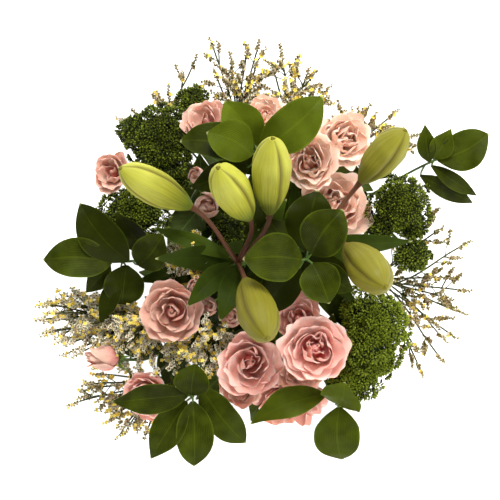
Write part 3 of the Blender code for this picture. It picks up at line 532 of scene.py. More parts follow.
# Each rose bud: middle of its tip, way, radius, length
ROSE_BUDS = {
    "rose_bud_far_southwest": ((-166, -101, 280), (-1, 0.05, 0.35), 12, 33),
    "rose_bud_heart": ((-62, -31, 312), (-0.1, 0.2, 1), 9, 22),
    "rose_bud_heart_low": ((-49, -54, 308), (0.1, -0.1, 1), 9, 22),
    "rose_bud_heart_south": ((-28, -63, 308), (0.1, -0.1, 1), 11, 24),
    "rose_bud_northwest": ((-63, 72, 296), (-0.2, 0.3, 1), 8, 18),
    "rose_bud_dark": ((-50, 43, 290), (0.1, 0.1, 1), 12, 24),
}
ROSE_SPRAYS = {
    "rose_stem_west": ("rose_left", "rose_bud_heart", "rose_bud_heart_low", "rose_bud_heart_south"),
    "rose_stem_south": ("rose_lower_middle", "rose_middle", "rose_best", "rose_under_best"),
    "rose_stem_northwest": ("rose_far_west", "rose_bud_northwest", "rose_bud_dark"),
    "rose_stem_northeast": ("rose_northeast", "rose_upper_right"),
    "rose_stem_east": ("rose_right",),
    "rose_stem_far_south": ("rose_far_south", "rose_south"),
    "rose_stem_far_southwest": ("rose_southwest", "rose_bud_far_southwest"),
    "rose_stem_north": ("rose_northwest", "rose_north"),
}
# Each head's lobes: centre and half sizes (x, y, up, down)
TRACHELIUM = {
    "trachelium_northwest": [((-94, 101, 272), (37, 38, 22, 18)), ((-65, 140, 262), (16, 14, 13, 12))],
    "trachelium_west": [((-120, 34, 262), (38, 25, 16, 16))],
    "trachelium_heart": [((-34, 14, 260), (16, 15, 13, 14))],
    "trachelium_east": [((129, 42, 272), (31, 26, 20, 18)), ((142, -5, 270), (20, 16, 13, 12))],
    "trachelium_southeast": [((102, -72, 276), (33, 40, 22, 18)), ((84, -122, 262), (26, 26, 16, 14))],
}
# Each spray's long spikes, each with the tips of the side spikes that leave it
STATICE_SPIKES = {
    "statice_north": [
        ((-49, 201, 262), [(-41, 196, 266)]),
        ((-13, 193, 268), [(-20, 178, 274)]),
        ((-2, 197, 268), [(5, 190, 270)]),
        ((-10, 164, 280), []),
    ],
    "statice_north_right": [
        ((17, 194, 270), [(14, 178, 280)]),
        ((45, 171, 274), [(53, 168, 276)]),
        ((66, 155, 268), [(69, 138, 264)]),
        ((20, 160, 284), []),
    ],
    "statice_northwest": [
        ((-61, 186, 250), []),
        ((-89, 158, 244), []),
        ((-139, 127, 232), [(-127, 110, 238)]),
    ],
    "statice_northeast": [
        ((84, 135, 264), []),
        ((108, 130, 266), []),
        ((130, 133, 258), []),
        ((150, 110, 250), [(150, 98, 254)]),
    ],
    "statice_east": [
        ((199, 9, 250), [(190, -8, 246)]),
        ((199, -39, 242), [(182, -16, 250)]),
        ((196, -63, 238), [(186, -55, 250)]),
        ((169, -74, 246), [(176, -88, 240)]),
        ((175, -108, 230), [(162, -88, 244)]),
        ((155, -120, 236), [(142, -112, 246)]),
        ((168, 40, 258), [(164, 30, 262)]),
    ],
    "statice_west": [
        ((-210, -50, 262), [(-206, -62, 254)]),
        ((-207, -77, 254), [(-196, -84, 264)]),
        ((-176, -95, 268), [(-190, -100, 252)]),
        ((-168, -50, 270), [(-150, -58, 282)]),
        ((-152, -88, 282), [(-138, -74, 286)]),
        ((-128, -92, 286), []),
    ],
    "statice_southwest": [
        ((-56, -76, 312), [(-64, -90, 302)]),
        ((-44, -84, 308), [(-40, -100, 298)]),
        ((-78, -96, 298), []),
        ((-56, -106, 296), []),
    ],
    "statice_heart": [((-86, -4, 288), []), ((-72, 6, 286), [(-66, -8, 292)])],
    "statice_far_southwest": [
        ((-176, -142, 232), [(-160, -128, 244)]),
        ((-142, -160, 226), []),
        ((-134, -178, 220), [(-120, -172, 226)]),
        ((-106, -186, 222), []),
    ],
}


# Stems


def spiral_point(ring, waist, turn, z):
    """A point of a stem's straight stretch, which leans round the axis."""
    run = RING_LEAN[ring] * (z - TIE_Z)
    c, s = math.cos(turn), math.sin(turn)
    return np.array((waist * c - run * s, waist * s + run * c, z))


def stem_turns():
    """Each stem's place round its ring, evenly spaced in the order of the heads."""
    turns = {}
    for ring, lead in enumerate(RING_LEAD):
        heading = {n: math.atan2(s[2][1], s[2][0]) for n, s in STEMS.items() if s[0] == ring}
        names = sorted(heading, key=heading.get)
        step = math.tau / len(names)
        offsets = [heading[n] - math.radians(lead) - i * step for i, n in enumerate(names)]
        start = sum(offsets) / len(names)
        for i, name in enumerate(names):
            turns[name] = start + i * step
    return turns


STEM_TURNS = stem_turns()


def clearance(name, waist, other, other_waist):
    """The gap between the straight stretches of two stems."""
    ends = []
    for stem_name, at in ((name, waist), (other, other_waist)):
        for z in (0.0, SPREAD_Z):
            ends.append(Vector(spiral_point(STEMS[stem_name][0], at, STEM_TURNS[stem_name], z)))
    near, far = intersect_line_line(*ends)
    return (near - far).length - STEMS[name][1] - STEMS[other][1]


def stem_waists():
    """Each stem's distance from the axis at the tie: each ring lies against the one outside it."""
    waists = {n: TIE_INNER_RADIUS - GAP - s[1] for n, s in STEMS.items() if s[0] == 2}
    for ring in (1, 0):
        outside = [n for n in waists if STEMS[n][0] == ring + 1]
        for name in [n for n, s in STEMS.items() if s[0] == ring]:
            waist = LEAST_WAIST[ring]
            while all(clearance(name, waist + NEST_STEP, n, waists[n]) > NEST_GAP for n in outside):
                waist += NEST_STEP
            waists[name] = waist
    return waists


STEM_WAISTS = stem_waists()
STRAIGHT_STEPS, RISE_STEPS = 14, 16


def stem_path(name):
    """The straight stretch from the cut end, then the curve out to the head."""
    ring, _, head, arrival = STEMS[name]
    waist, turn = STEM_WAISTS[name], STEM_TURNS[name]
    foot = spiral_point(ring, waist, turn, 0.0)
    spread = spiral_point(ring, waist, turn, SPREAD_Z)
    share = np.linspace(0.0, 1.0, STRAIGHT_STEPS, endpoint=False)[:, None]
    rise = cubic(spread, spread - foot, head, arrival, RISE_STEPS)
    return np.concatenate([foot + (spread - foot) * share, rise])


def add_stem(piece, name, taper, sides=12, ridges=0.0, joints=()):
    """The stem with its level cut end. joints are shares of its height with a small swelling."""
    path = stem_path(name)
    rng = np.random.default_rng(len(name) * 7 + ord(name[-1]))
    radius = np.full(len(path), STEMS[name][1])
    radius[STRAIGHT_STEPS:] *= 1.0 - (1.0 - taper) * np.linspace(0, 1, RISE_STEPS + 1)
    share = np.linspace(0, 1, len(path))
    radius *= 1.0 + 0.03 * np.sin(share * 37 + rng.uniform(0, 6)) * ease(0.02, 0.1, share)
    for joint in joints:
        radius *= 1.0 + 0.22 * np.exp(-(((share - joint) / 0.012) ** 2))
    turn = np.arange(sides) * math.tau / sides
    relief = np.broadcast_to(1.0 + ridges * np.cos(turn * 4), (len(path), sides))
    add_tube(piece, path, radius, sides, tint=rng.uniform(0, 1), relief=relief, capped=False)
    way = unit(path[1] - path[0])
    rim = piece.points[-1][:sides]
    rim -= way * (rim[:, 2:3] / way[2])
    cut = np.concatenate([rim, path[:1]])
    fan = np.array([(sides, (k + 1) % sides, k) for k in range(sides)])
    uv = np.concatenate([np.ones((sides, 2)), np.zeros((1, 2))])
    piece.add(cut, fan, uv, 0.5, 1.0, finish=1)
    return path


def nearest_on(path, point):
    """The point of a stem above the tie that is nearest to a leaf's base."""
    upper = path[STRAIGHT_STEPS:]
    return upper[np.argmin(np.linalg.norm(upper - point, axis=1))]


# Leaves. Stations run from the base to the tip, each with its share of the half width.

RUSCUS_STATIONS = (
    (0.0, 0.10), (0.10, 0.50), (0.26, 0.87), (0.46, 1.0), (0.66, 0.92),
    (0.81, 0.68), (0.91, 0.38), (0.965, 0.15), (1.0, 0.02),
)
NARROW_STATIONS = ((0, 0.10), (0.16, 0.66), (0.38, 1), (0.62, 0.90), (0.82, 0.48), (0.94, 0.17), (1, 0.02))
LILY_STATIONS = ((0, 0.30), (0.15, 0.66), (0.34, 0.95), (0.58, 0.93), (0.80, 0.60), (0.93, 0.24), (1, 0.03))
ROSE_STATIONS = (
    (0.0, 0.12), (0.10, 0.50), (0.26, 0.90), (0.42, 1.0),
    (0.62, 0.86), (0.80, 0.52), (0.92, 0.22), (1.0, 0.04),
)
LEAF_THICKNESS = 0.55
# A ruscus leaf up to this width is a narrow one
NARROW_WIDTH = 32.0
# The leaves under the flowers stay within this radius of the bunch
FOLIAGE_REACH = 140.0


def leaf_grid(base, tip, width, stations, bow, roll, fold, rng, rows, columns, teeth=0, wave=0.03):
    """A leaf arched along its length, folded at the rib and a little wavy at its edges."""
    base, tip = np.array(base, float), np.array(tip, float)
    along = tip - base
    length = np.linalg.norm(along)
    way = along / length
    face = unit(UP - way * way[2])
    face = face * math.cos(math.radians(roll)) + np.cross(way, face) * math.sin(math.radians(roll))
    side = np.cross(way, face)
    t = np.linspace(0, 1, rows)[:, None]
    u = np.linspace(-1, 1, columns)[None, :]
    half = np.maximum(0.35, width / 2 * smooth_line(stations, t[:, 0]))[:, None]
    if teeth:
        saw = 1.0 - (t * teeth) % 1.0
        half = half * (1.0 + 0.055 * (saw - 0.5) * ease(0.8, 1.0, np.abs(u)))
    bend = width * 0.10 * rng.uniform(-1, 1) * np.sin(math.pi * t)
    lift = fold * half * (np.abs(u) ** 1.4)
    ripple = np.sin(t * rng.uniform(9, 14) + rng.uniform(0, 6)) * np.maximum(u, 0) ** 2
    ripple += np.sin(t * rng.uniform(9, 14) + rng.uniform(0, 6)) * np.minimum(u, 0) ** 2
    twist = rng.uniform(-0.10, 0.10) * half * u * np.sin(math.pi * t)
    raised = bow * length * 4 * t * (1 - t) + lift + wave * width * ripple * np.sin(math.pi * t) + twist
    # The last of the tip turns down a little, as thin tips do
    raised = raised - length * 0.03 * ease(0.82, 1.0, t)
    return base + along * t[..., None] + side * (half * u + bend)[..., None] + face * raised[..., None]


def add_leaf(
    piece, leaf, rng, stations, root=None, fold=0.18, rows=26, columns=11, finish=2, layer=0.3, **edge
):
    """One leaf from its (base, tip, width, bow, roll) line, with its stalk back to the root."""
    base, tip, width, bow, roll = leaf
    grid = leaf_grid(base, tip, width, stations, bow, roll, fold, rng, rows, columns, **edge)
    add_blades(piece, grid[None], LEAF_THICKNESS, rng.uniform(0, 1), layer, finish, size=width)
    if root is not None:
        base, way = np.array(base, float), np.array(tip, float) - np.array(base, float)
        if np.linalg.norm(base - root) > 1.0:
            stalk = cubic(root, base - root + UP * 0.3, base + unit(way) * 2.0, way, 5, pull=0.3)
            add_tube(piece, stalk, np.linspace(1.0, 0.75, 6), 6, 0.5, 0.2)


def add_foliage(piece, path, rng, count, length, width, stations, finish=2):
    """Leaves that leave the upper stretch of a stem on alternate sides, under the flowers. Their light mark
    is low, so a finish that reads it paints them dark, as painted shade.
    """
    rise = path[STRAIGHT_STEPS:]
    phase = rng.uniform(0, math.tau)
    for k in range(count):
        at = rise[int((0.32 + 0.62 * k / count) * (len(rise) - 1))]
        angle = phase + k * GOLDEN_ANGLE
        out = np.array((math.cos(angle), math.sin(angle), rng.uniform(0.1, 0.5)))
        if np.linalg.norm((at + out * length)[:2]) > FOLIAGE_REACH:
            out[:2] *= -1
        out = unit(out)
        base = at + out * 7.0
        tip = base + out * length * rng.uniform(0.8, 1.15)
        leaf = (base, tip, width, rng.uniform(0.02, 0.10), rng.uniform(-25, 25))
        # A low light mark: painted shade under the flowers
        light = rng.uniform(0.0, 0.2)
        add_leaf(piece, leaf, rng, stations, at, rows=14, columns=7, layer=light, finish=finish)


def low_leaf(line):
    """A low leaf's line with its bow and its roll, which are the same for all."""
    return (*line, 0.06, 0.0)


# Lily buds and lily stems

BUD_ROWS, BUD_SIDES = 46, 60


def lily_bud(name, tepal):
    """A shut bud: three outer tepals with a groove where two meet and a rib down the back of each."""
    settings = bpy.context.scene.bouquet_lilies
    rng = draws_for(name)
    base, tip, diameter, roll, gold = LILY_BUDS[name]
    base, tip = np.array(base, float), np.array(tip, float)
    way = unit(tip - base)
    share = np.linspace(0, 1, BUD_ROWS) ** 0.92
    side = np.cross(way, UP)
    bow = 2.2 * rng.uniform(0.6, 1.2) * np.sin(math.pi * share)
    path = base + (tip - base) * share[:, None] + unit(np.cross(way, side)) * bow[:, None]
    radius = smooth_line(BUD_PROFILE, share) * diameter / 2 * 1.02
    turn = np.arange(BUD_SIDES) * math.tau / BUD_SIDES
    third = math.tau / 3
    off = ((turn - math.radians(60)) + third / 2) % third - third / 2
    groove = np.exp(-((off / 0.13) ** 2))
    beside = np.exp(-(((np.abs(off) - 0.30) / 0.16) ** 2))
    rib = (turn + third / 2) % third - third / 2
    rib_line = np.exp(-((rib / 0.10) ** 2))
    deep = (ease(0.02, 0.25, share) * (1.0 - 0.3 * ease(0.8, 1.0, share)))[:, None]
    relief = 1.0 - settings.groove_depth * deep * groove + 0.035 * deep * beside
    relief = relief + 0.022 * deep * rib_line - 0.02 * deep * np.exp(-(((np.abs(rib) - 0.2) / 0.08) ** 2))
    relief = relief * (1.0 + 0.015 * np.sin(share * 17 + rng.uniform(0, 6)))[:, None]
    piece = Piece()
    roll = math.radians(roll)
    first = unit(side) * math.cos(roll) + unit(np.cross(way, side)) * math.sin(roll)
    # The layer mark is the groove, where the seam colour is painted: a brown tinge and painted shade
    layer = groove[None, :] * deep
    add_tube(piece, path, radius, BUD_SIDES, gold, layer, relief=relief, start=first)
    # The tips of the three tepals, drawn together
    for k in range(3):
        spoke = unit(first * math.cos(k * third) + np.cross(way, first) * math.sin(k * third))
        tips = [path[-1] + way * up + spoke * out for up, out in ((-2.0, 1.4), (0.6, 1.0), (2.0, 0.1))]
        add_tube(piece, tips, (1.5, 1.2, 0.3), 7, 0.9, 0.25)
    piece.make(name + "_tepals", [tepal], [name])


def lily_stem(name, skins):
    """A lily stem with leaf scars, its stalks out to the buds and its long leaves."""
    rng = draws_for(name)
    piece = Piece()
    path = add_stem(piece, name, 0.9, sides=16, joints=rng.uniform(0.05, 0.75, 7))
    top = path[-1]
    for bud in LILY_BRANCHES[name]:
        base, tip = np.array(LILY_BUDS[bud][0], float), np.array(LILY_BUDS[bud][1], float)
        way = unit(tip - base)
        end = base - way * GAP
        out = unit(end - top) + UP * 0.5
        stalk = cubic(top - UP * 2.0, out, end - way * 2.0, way, 14)
        stalk = np.concatenate([stalk, (end + way * 0.8)[None]])
        radius = 2.5 * (1 - 0.16 * np.sin(np.linspace(0, math.pi, 16)))
        radius[-3:] *= (1.05, 1.35, 1.5)
        add_tube(piece, stalk, radius, 12, rng.uniform(0, 1), 1.0)
    for leaf in LILY_LEAVES[name]:
        root = nearest_on(path, np.array(leaf[0]))
        add_leaf(piece, leaf, rng, LILY_STATIONS, root, fold=0.25, rows=30, layer=rng.uniform(0.2, 0.6))
    for line in LOW_LEAVES[name]:
        # The low leaves get a low light mark: painted shade
        add_leaf(piece, low_leaf(line), rng, LILY_STATIONS, fold=0.12, rows=30, layer=0.1)
    add_foliage(piece, path, rng, 6, 70.0, 15.0, LILY_STATIONS)
    piece.make(name + "_leaves", skins, [name])


# Ruscus

# Painted light: how light each ruscus leaf is painted, from those that lie in shade to the lit ones on top
RUSCUS_PAINTED_LIGHT = {
    "ruscus_north": (0.62, 0.78, 0.68, 0.28, 0.15),
    "ruscus_west": (0.10, 0.20, 0.15, 0.05, 0.10, 0.10),
    "ruscus_centre": (0.26, 0.12, 0.20, 0.06, 0.02, 0.27),
    "ruscus_southwest": (0.25, 0.25, 0.30, 0.35, 0.15),
    "ruscus_southeast": (0.60, 0.55, 0.40),
    "ruscus_east": (0.30, 0.45, 0.35, 0.30, 0.25),
}


def ruscus(name, skins):
    """A stalk of ruscus with a leaf for each line of its table."""
    rng = draws_for(name)
    piece = Piece()
    path = add_stem(piece, name, 0.6, sides=12, ridges=0.05, joints=rng.uniform(0.1, 0.9, 5))
    for i, leaf in enumerate(RUSCUS_LEAVES[name]):
        root = nearest_on(path, np.array(leaf[0]))
        wide = leaf[2] > NARROW_WIDTH
        stations = RUSCUS_STATIONS if wide else NARROW_STATIONS
        # Painted light: how light this leaf is painted, by where it lies
        painted_light = RUSCUS_PAINTED_LIGHT[name][i]
        leaf = (*leaf[:4], leaf[4] + rng.uniform(-13.0, 13.0))
        fold = rng.uniform(0.16, 0.30)
        add_leaf(piece, leaf, rng, stations, root, fold, rows=28, columns=13, layer=painted_light, wave=0.045)
    add_foliage(piece, path, rng, 4, 52.0, 27.0, NARROW_STATIONS)
    piece.make(name + "_leaves", skins, [name])


# Roses

PETAL_ROWS, PETAL_COLUMNS = 14, 15
PETAL_WIDTHS = ((0.0, 0.36), (0.25, 0.66), (0.50, 0.94), (0.72, 1.0), (0.88, 0.88), (1.0, 0.62))
ROSE_HEIGHT = 0.78
ROSE_FOOT_RADIUS = 2.8
# How frilly each rose is, and which way its heart leans off the middle
ROSE_LOOKS = {
    "rose_right": (1.6, (-0.10, 0.10)),
    "rose_upper_right": (1.2, (-0.05, 0.12)),
    "rose_northeast": (1.4, (0.08, 0.05)),
    "rose_far_south": (1.8, (0.0, 0.1)),
    "rose_lower_middle": (1.3, (0.10, 0.06)),
    "rose_best": (0.9, (-0.10, 0.20)),
    "rose_left": (0.7, (0.12, 0.12)),
    "rose_middle": (0.8, (-0.08, -0.04)),
}
DUSKY_ROSES = ("rose_left", "rose_under_best", "rose_south", "rose_northwest", "rose_far_west")


def flower_base(name):
    """Where a rose or bud sits on its hip, and the way that it faces."""
    if name in ROSES:
        mouth, way, radius = ROSES[name][:3]
        height = radius * ROSE_HEIGHT
    else:
        mouth, way, _, height = ROSE_BUDS[name]
    way = unit(np.array(way, float))
    return np.array(mouth, float) - way * height, way


def wavy(u, rng, count, low, high):
    """A smooth random wave across each of count petals, about -1 to 1."""
    total = 0.0
    for strength in (0.6, 0.4, 0.25):
        rate = rng.uniform(low, high, (count, 1, 1))
        total = total + strength * np.sin(u * rate + rng.uniform(0, math.tau, (count, 1, 1)))
    return total


# The tiers of a rose from the outside in: petals, lip radius, lip height, half angle, roll
ROSE_TIERS = ((5, 0.95, 0.78, 0.86, 0.8), (5, 0.78, 0.92, 0.88, 0.55), (4, 0.60, 1.0, 1.0, 0.35))
PETAL_FORM = np.dtype([(part, float) for part in ("lip", "height", "spread", "roll", "inner")])


def rose_forms(count):
    """The form of each petal from the heart out, as shares of the rose's radius and height."""
    forms = np.zeros(count, PETAL_FORM)
    inside = count - sum(tier[0] for tier in ROSE_TIERS)
    deep = (np.arange(inside) + 0.5) / inside
    forms["lip"][:inside] = 0.05 + 0.40 * deep
    forms["height"][:inside] = 0.86 + 0.14 * deep
    forms["spread"][:inside] = 1.45 - 0.40 * deep
    forms["inner"][:inside] = 1.0
    at = count
    for n, lip, height, spread, roll in ROSE_TIERS:
        part = slice(at - n, at)
        step = np.linspace(-1, 1, n)
        forms["lip"][part] = lip + 0.05 * step
        forms["height"][part] = height - 0.03 * step
        forms["spread"][part], forms["roll"][part] = spread, roll
        forms["inner"][part] = max(0.0, 1.0 - roll * 1.8)
        at -= n
    return forms


def rose_petals(radius, count, rng, ruffle, lean):
    """The middle surfaces of all petals of an open rose, in the bloom's own frame.

    lean moves the heart off the middle, as a share of the radius.
    """
    forms = rose_forms(count)
    lip, height, half, roll, inner = (forms[part][:, None, None] for part in PETAL_FORM.names)
    t = np.linspace(0, 1, PETAL_ROWS)[None, :, None]
    u = np.linspace(-1, 1, PETAL_COLUMNS)[None, None, :]
    chance = rng.uniform(-1, 1, (7, count, 1, 1))
    roll = roll * (0.75 + 0.45 * chance[0])
    lip = radius * lip * (1.0 - 0.06 * roll) * (1.0 + 0.05 * chance[1])
    height = radius * ROSE_HEIGHT * height * (1.0 + 0.05 * chance[2])
    notch = 0.022 * np.sin(u * 5.0 + chance[3] * 3.0) + 0.010 * np.sin(u * 15.0 + chance[4] * 3.0)
    rise = t * (1.0 - 0.08 * u**2 - 0.13 * u**4 + notch * t**4)
    low = np.clip(rise, 0, 1)
    foot = ROSE_FOOT_RADIUS * 0.6
    out = foot + (lip - foot) * (1.0 - (1.0 - low) ** (2.6 - 0.9 * (1.0 - inner)))
    out = out + 0.20 * lip * np.sin(math.pi * low) * inner
    up = 0.6 + height * np.clip(rise, 0, 1.1) ** 1.3
    curl = np.clip((rise - 0.64) / 0.36, 0.0, 1.1)
    out = out + radius * 0.12 * roll * curl**2
    up = up - radius * 0.14 * roll * curl**2.6
    ramp = ease(0.30, 1.0, t)
    out = out * (1.0 + (0.06 + 0.10 * inner) * u * np.sign(0.6 + chance[5]))
    out = out + radius * 0.07 * roll * np.abs(u) ** 3 * ramp
    # The heart's petals are crushed together, so they fold; the outer ones only wave at the lip
    out = out + radius * 0.085 * inner * ramp * wavy(u, rng, count, 1.5, 4.5)
    out = out + radius * (0.016 + 0.018 * chance[6] ** 2) * ease(0.1, 0.6, t) * wavy(u, rng, count, 3.0, 8.0)
    strength = ruffle * (1.0 - 0.6 * inner)
    out = out + radius * strength * ramp**3 * wavy(u, rng, count, 3.0, 8.0)
    up = up + radius * strength * 0.8 * ramp**2 * wavy(u, rng, count, 2.0, 6.0)
    up = up + radius * 0.05 * np.exp(-((u / 0.25) ** 2)) * ramp**3 * chance[3]
    out = np.maximum(out, 0.25)
    spread = half * (1.0 + 0.10 * chance[4]) * smooth_line(PETAL_WIDTHS, t[0, :, 0])[None, :, None]
    k = np.arange(count)[:, None, None]
    turn = k * GOLDEN_ANGLE + chance[0] * 0.15 + u * spread
    aside = radius * (1.0 - lip / radius) * low**1.5
    off = inner * (0.35 + np.clip(lip / radius, 0, 0.4)) * 0.26
    across = out * np.cos(turn) + aside * (lean[0] + off * chance[5])
    along = out * np.sin(turn) + aside * (lean[1] + off * chance[6])
    return np.stack([across, along, up + 0 * turn], -1)


def rose(name, petals):
    """An open rose: its petals from the crushed heart to the rolled outer ones."""
    settings = bpy.context.scene.bouquet_roses
    rng = draws_for(name)
    radius, colour = ROSES[name][2:]
    base, way = flower_base(name)
    # The pale roses have more petals crushed into the heart
    count = int(settings.petals * math.sqrt(radius / 30)) + (4 if colour == "pale" else 0)
    frill, lean = ROSE_LOOKS.get(name, (1.0, (0.06, 0.06)))
    grids = rose_petals(radius, count, rng, settings.ruffle * frill, lean)
    grids = grids @ standing(way) + base
    piece = Piece()
    share = (np.arange(count) + 0.5) / count
    thick = settings.petal_thickness / MM
    # A plug in the heart, which leans as the petals do, closes the gaps between them
    high = np.array((0.1, 0.3, 0.5, 0.7, 0.82))
    middle = np.stack([lean[0] * high**1.5, lean[1] * high**1.5, ROSE_HEIGHT * high], 1) * radius
    plug = (2.4, radius * 0.20, radius * 0.13, radius * 0.09, radius * 0.02)
    # Its layer of 0 puts it at the heart's end of the colour, deepened as painted shade
    add_tube(piece, middle @ standing(way) + base, plug, 10, 0.2, 0.0)
    add_blades(piece, grids, thick, rng.uniform(0, 1, count), share, size=radius)
    look = "dusky" if name in DUSKY_ROSES else colour
    piece.make(name + "_petals", [petals[look]], [name], sharp=60.0)


BUD_PETALS, BUD_PETAL_ROWS, BUD_PETAL_COLUMNS = 9, 16, 13
BUD_EGG = ((0.0, 0.24), (0.16, 0.78), (0.42, 1.0), (0.75, 0.82), (1.0, 0.42))
BUD_PETAL_WIDTHS = ((0.0, 0.7), (0.4, 1.0), (0.7, 1.0), (1.0, 0.55))


def rose_bud(name, petals):
    """A closed bud: petals wrapped round each other in a slow twist."""
    settings = bpy.context.scene.bouquet_roses
    rng = draws_for(name)
    radius, length = ROSE_BUDS[name][2:]
    base, way = flower_base(name)
    count = BUD_PETALS
    k = np.arange(count)
    share = ((k + 0.5) / count)[:, None, None]
    t = np.linspace(0, 1, BUD_PETAL_ROWS)[None, :, None]
    u = np.linspace(-1, 1, BUD_PETAL_COLUMNS)[None, None, :]
    rise = t * (1.0 - 0.06 * u**2 - 0.16 * u**4)
    egg = smooth_line(BUD_EGG, np.clip(rise[0] + 0 * u[0], 0, 1))[None]
    shut = ease(0.45, 1.0, rise)
    out = radius * (egg * (0.55 + 0.45 * share) * (1.0 - shut) + (0.03 + 0.62 * share) * shut)
    out = out * (1.0 + 0.12 * u + 0.10 * shut * wavy(u, rng, count, 1.5, 4.0))
    out = out + radius * 0.20 * ease(0.5, 0.9, share) * ease(0.78, 1.0, rise)
    up = length * rise * (1.0 - 0.20 * share * rng.uniform(0.3, 1.2, (count, 1, 1)))
    spread = 1.25 * smooth_line(BUD_PETAL_WIDTHS, t[0, :, 0])[None, :, None]
    turn = (k * GOLDEN_ANGLE)[:, None, None] + u * spread + 0.6 * t
    grids = np.stack([out * np.cos(turn), out * np.sin(turn), up + 0 * turn], -1) @ standing(way) + base
    piece = Piece()
    middle = base + way * (length * np.array([0.1, 0.35, 0.6, 0.8, 0.92]))[:, None]
    add_tube(piece, middle, radius * np.array([0.12, 0.42, 0.34, 0.20, 0.05]), 10, 0.2, 0.1)
    tint, layer = rng.uniform(0, 0.6, count), 0.05 + share[:, 0, 0] * 0.5
    add_blades(piece, grids, settings.petal_thickness / MM, tint, layer, size=radius)
    piece.make(name + "_petals", [petals["dusky"]], [name])


HIP_LENGTH = 7.0
HIP_RADII = ((0.0, 1.5), (0.3, 3.1), (0.55, 3.8), (0.85, 3.1), (1.0, ROSE_FOOT_RADIUS))
SEPALS, SEPAL_LENGTH, SEPAL_FOOT, SEPAL_HALF_WIDTH = 5, 14.0, 2.6, 2.4
THORNS, NO_THORNS_BY_TIE = 6, 14.0
SEPAL_STATIONS = ((0.0, 0.7), (0.25, 1.0), (0.6, 0.55), (0.85, 0.18), (1.0, 0.04))


def add_rose_branch(piece, start, out, base, way, rng):
    """A stalk that ends in the hip under a bloom, with five sepals that point out and down."""
    foot = base - way * HIP_LENGTH
    stalk = cubic(start, out, foot, way, 12)
    add_tube(piece, stalk, np.linspace(1.6, 1.45, 13), 9, rng.uniform(0, 1), 0.35)
    share = np.linspace(0, 1, 10)
    hip = foot + way * (HIP_LENGTH - GAP) * share[:, None]
    add_tube(piece, hip, smooth_line(HIP_RADII, share), 12, rng.uniform(0, 1), 0.0)
    frame_rows = standing(way)
    phase = rng.uniform(0, math.tau)
    grids = []
    for k in range(SEPALS):
        angle = phase + k * math.tau / SEPALS
        spoke = frame_rows[0] * math.cos(angle) + frame_rows[1] * math.sin(angle)
        side = np.cross(way, spoke)
        t = np.linspace(0, 1, 12)[:, None, None]
        u = np.linspace(-1, 1, 5)[None, :, None]
        half = SEPAL_HALF_WIDTH * smooth_line(SEPAL_STATIONS, t[:, 0, 0])[:, None, None]
        reach = SEPAL_FOOT + (SEPAL_LENGTH * rng.uniform(0.9, 1.0) - SEPAL_FOOT) * t
        drop = 5.4 - 6.8 * t + 2.2 * np.sin(math.pi * t) - 2.0 * t**3 + np.abs(u) ** 2 * half * 0.35
        grids.append(foot + spoke * reach + side * half * u + way * drop)
    add_blades(piece, np.array(grids), 0.5, rng.uniform(0, 1, SEPALS), 0.5, finish=2, size=5.0)


def rose_stem(name, skins):
    """A rose stem with thorns, the stalks and hips of its spray, and its low leaves."""
    rng = draws_for(name)
    piece = Piece()
    path = add_stem(piece, name, 0.75, sides=12, joints=rng.uniform(0.08, 0.8, 4))
    rising = unit(path[-1] - path[-2])
    start = path[-1] - rising * 2.0
    for head in ROSE_SPRAYS[name]:
        base, way = flower_base(head)
        add_rose_branch(piece, start, unit(base - start) + rising * 0.6, base, way, rng)
    radius = STEMS[name][1]
    for at in rng.choice(np.arange(1, len(path) - 6), THORNS, replace=False):
        if abs(path[at][2] - TIE_Z) < NO_THORNS_BY_TIE:
            continue
        way = unit(path[at + 1] - path[at])
        spoke = unit(np.cross(way, rng.normal(size=3)))
        tip = path[at] + spoke * (radius + 2.6) - way * 1.6
        thorn = np.array([path[at] + spoke * (radius - 0.4), path[at] + spoke * (radius + 1.0), tip])
        add_tube(piece, thorn, (1.1, 0.6, 0.08), 6, 0.3, 0.9)
    for line in LOW_LEAVES.get(name, []):
        add_leaf(piece, low_leaf(line), rng, ROSE_STATIONS, fold=0.10, rows=44, teeth=22, finish=3)
    add_foliage(piece, path, rng, 6, 46.0, 27.0, ROSE_STATIONS, finish=3)
    piece.make(name + "_leaves", skins, [name])


# Trachelium: heads of small green buds in tight clumps

# A lobe has no clumps below this share of its depth
UNDERSIDE = -0.35
# Square millimetres of a lobe's outside for each clump
CLUMP_AREA = 42.0
BUDS_IN_CLUMP = 18
CORE_ROWS, CORE_COLUMNS = 12, 24
# Smaller lobes, which break up the round outlines of the solids
TRACHELIUM_FILL = {
    "trachelium_northwest": [((-122, 112, 266), (14, 14, 11, 10)), ((-84, 68, 266), (20, 15, 12, 12))],
    "trachelium_west": [((-142, 22, 258), (15, 14, 10, 10))],
    "trachelium_east": [((141, 22, 266), (14, 13, 12, 11)), ((112, 18, 270), (17, 14, 12, 12))],
    "trachelium_southeast": [((108, -104, 264), (22, 20, 15, 13)), ((76, -92, 270), (18, 17, 14, 12))],
}
# Painted light: how light each head is painted, as it lies in light or shade
TRACHELIUM_PAINTED_LIGHT = {
    "trachelium_northwest": 0.15,
    "trachelium_west": 0.5,
    "trachelium_heart": 0.0,
    "trachelium_east": 0.3,
    "trachelium_southeast": 0.9,
}


def lobe_surface(ways, centre, sizes):
    """Points of a lobe's lumpy outside in the given directions."""
    wide, deep, up, down = sizes
    tall = np.where(ways[:, 2] > 0, up, down)
    reach = 1.0 / np.sqrt((ways[:, 0] / wide) ** 2 + (ways[:, 1] / deep) ** 2 + (ways[:, 2] / tall) ** 2)
    turn = np.arctan2(ways[:, 1], ways[:, 0])
    lump = 1.0 + 0.07 * np.sin(3 * turn + centre[0]) + 0.05 * np.sin(5 * turn + centre[1])
    return reach * lump


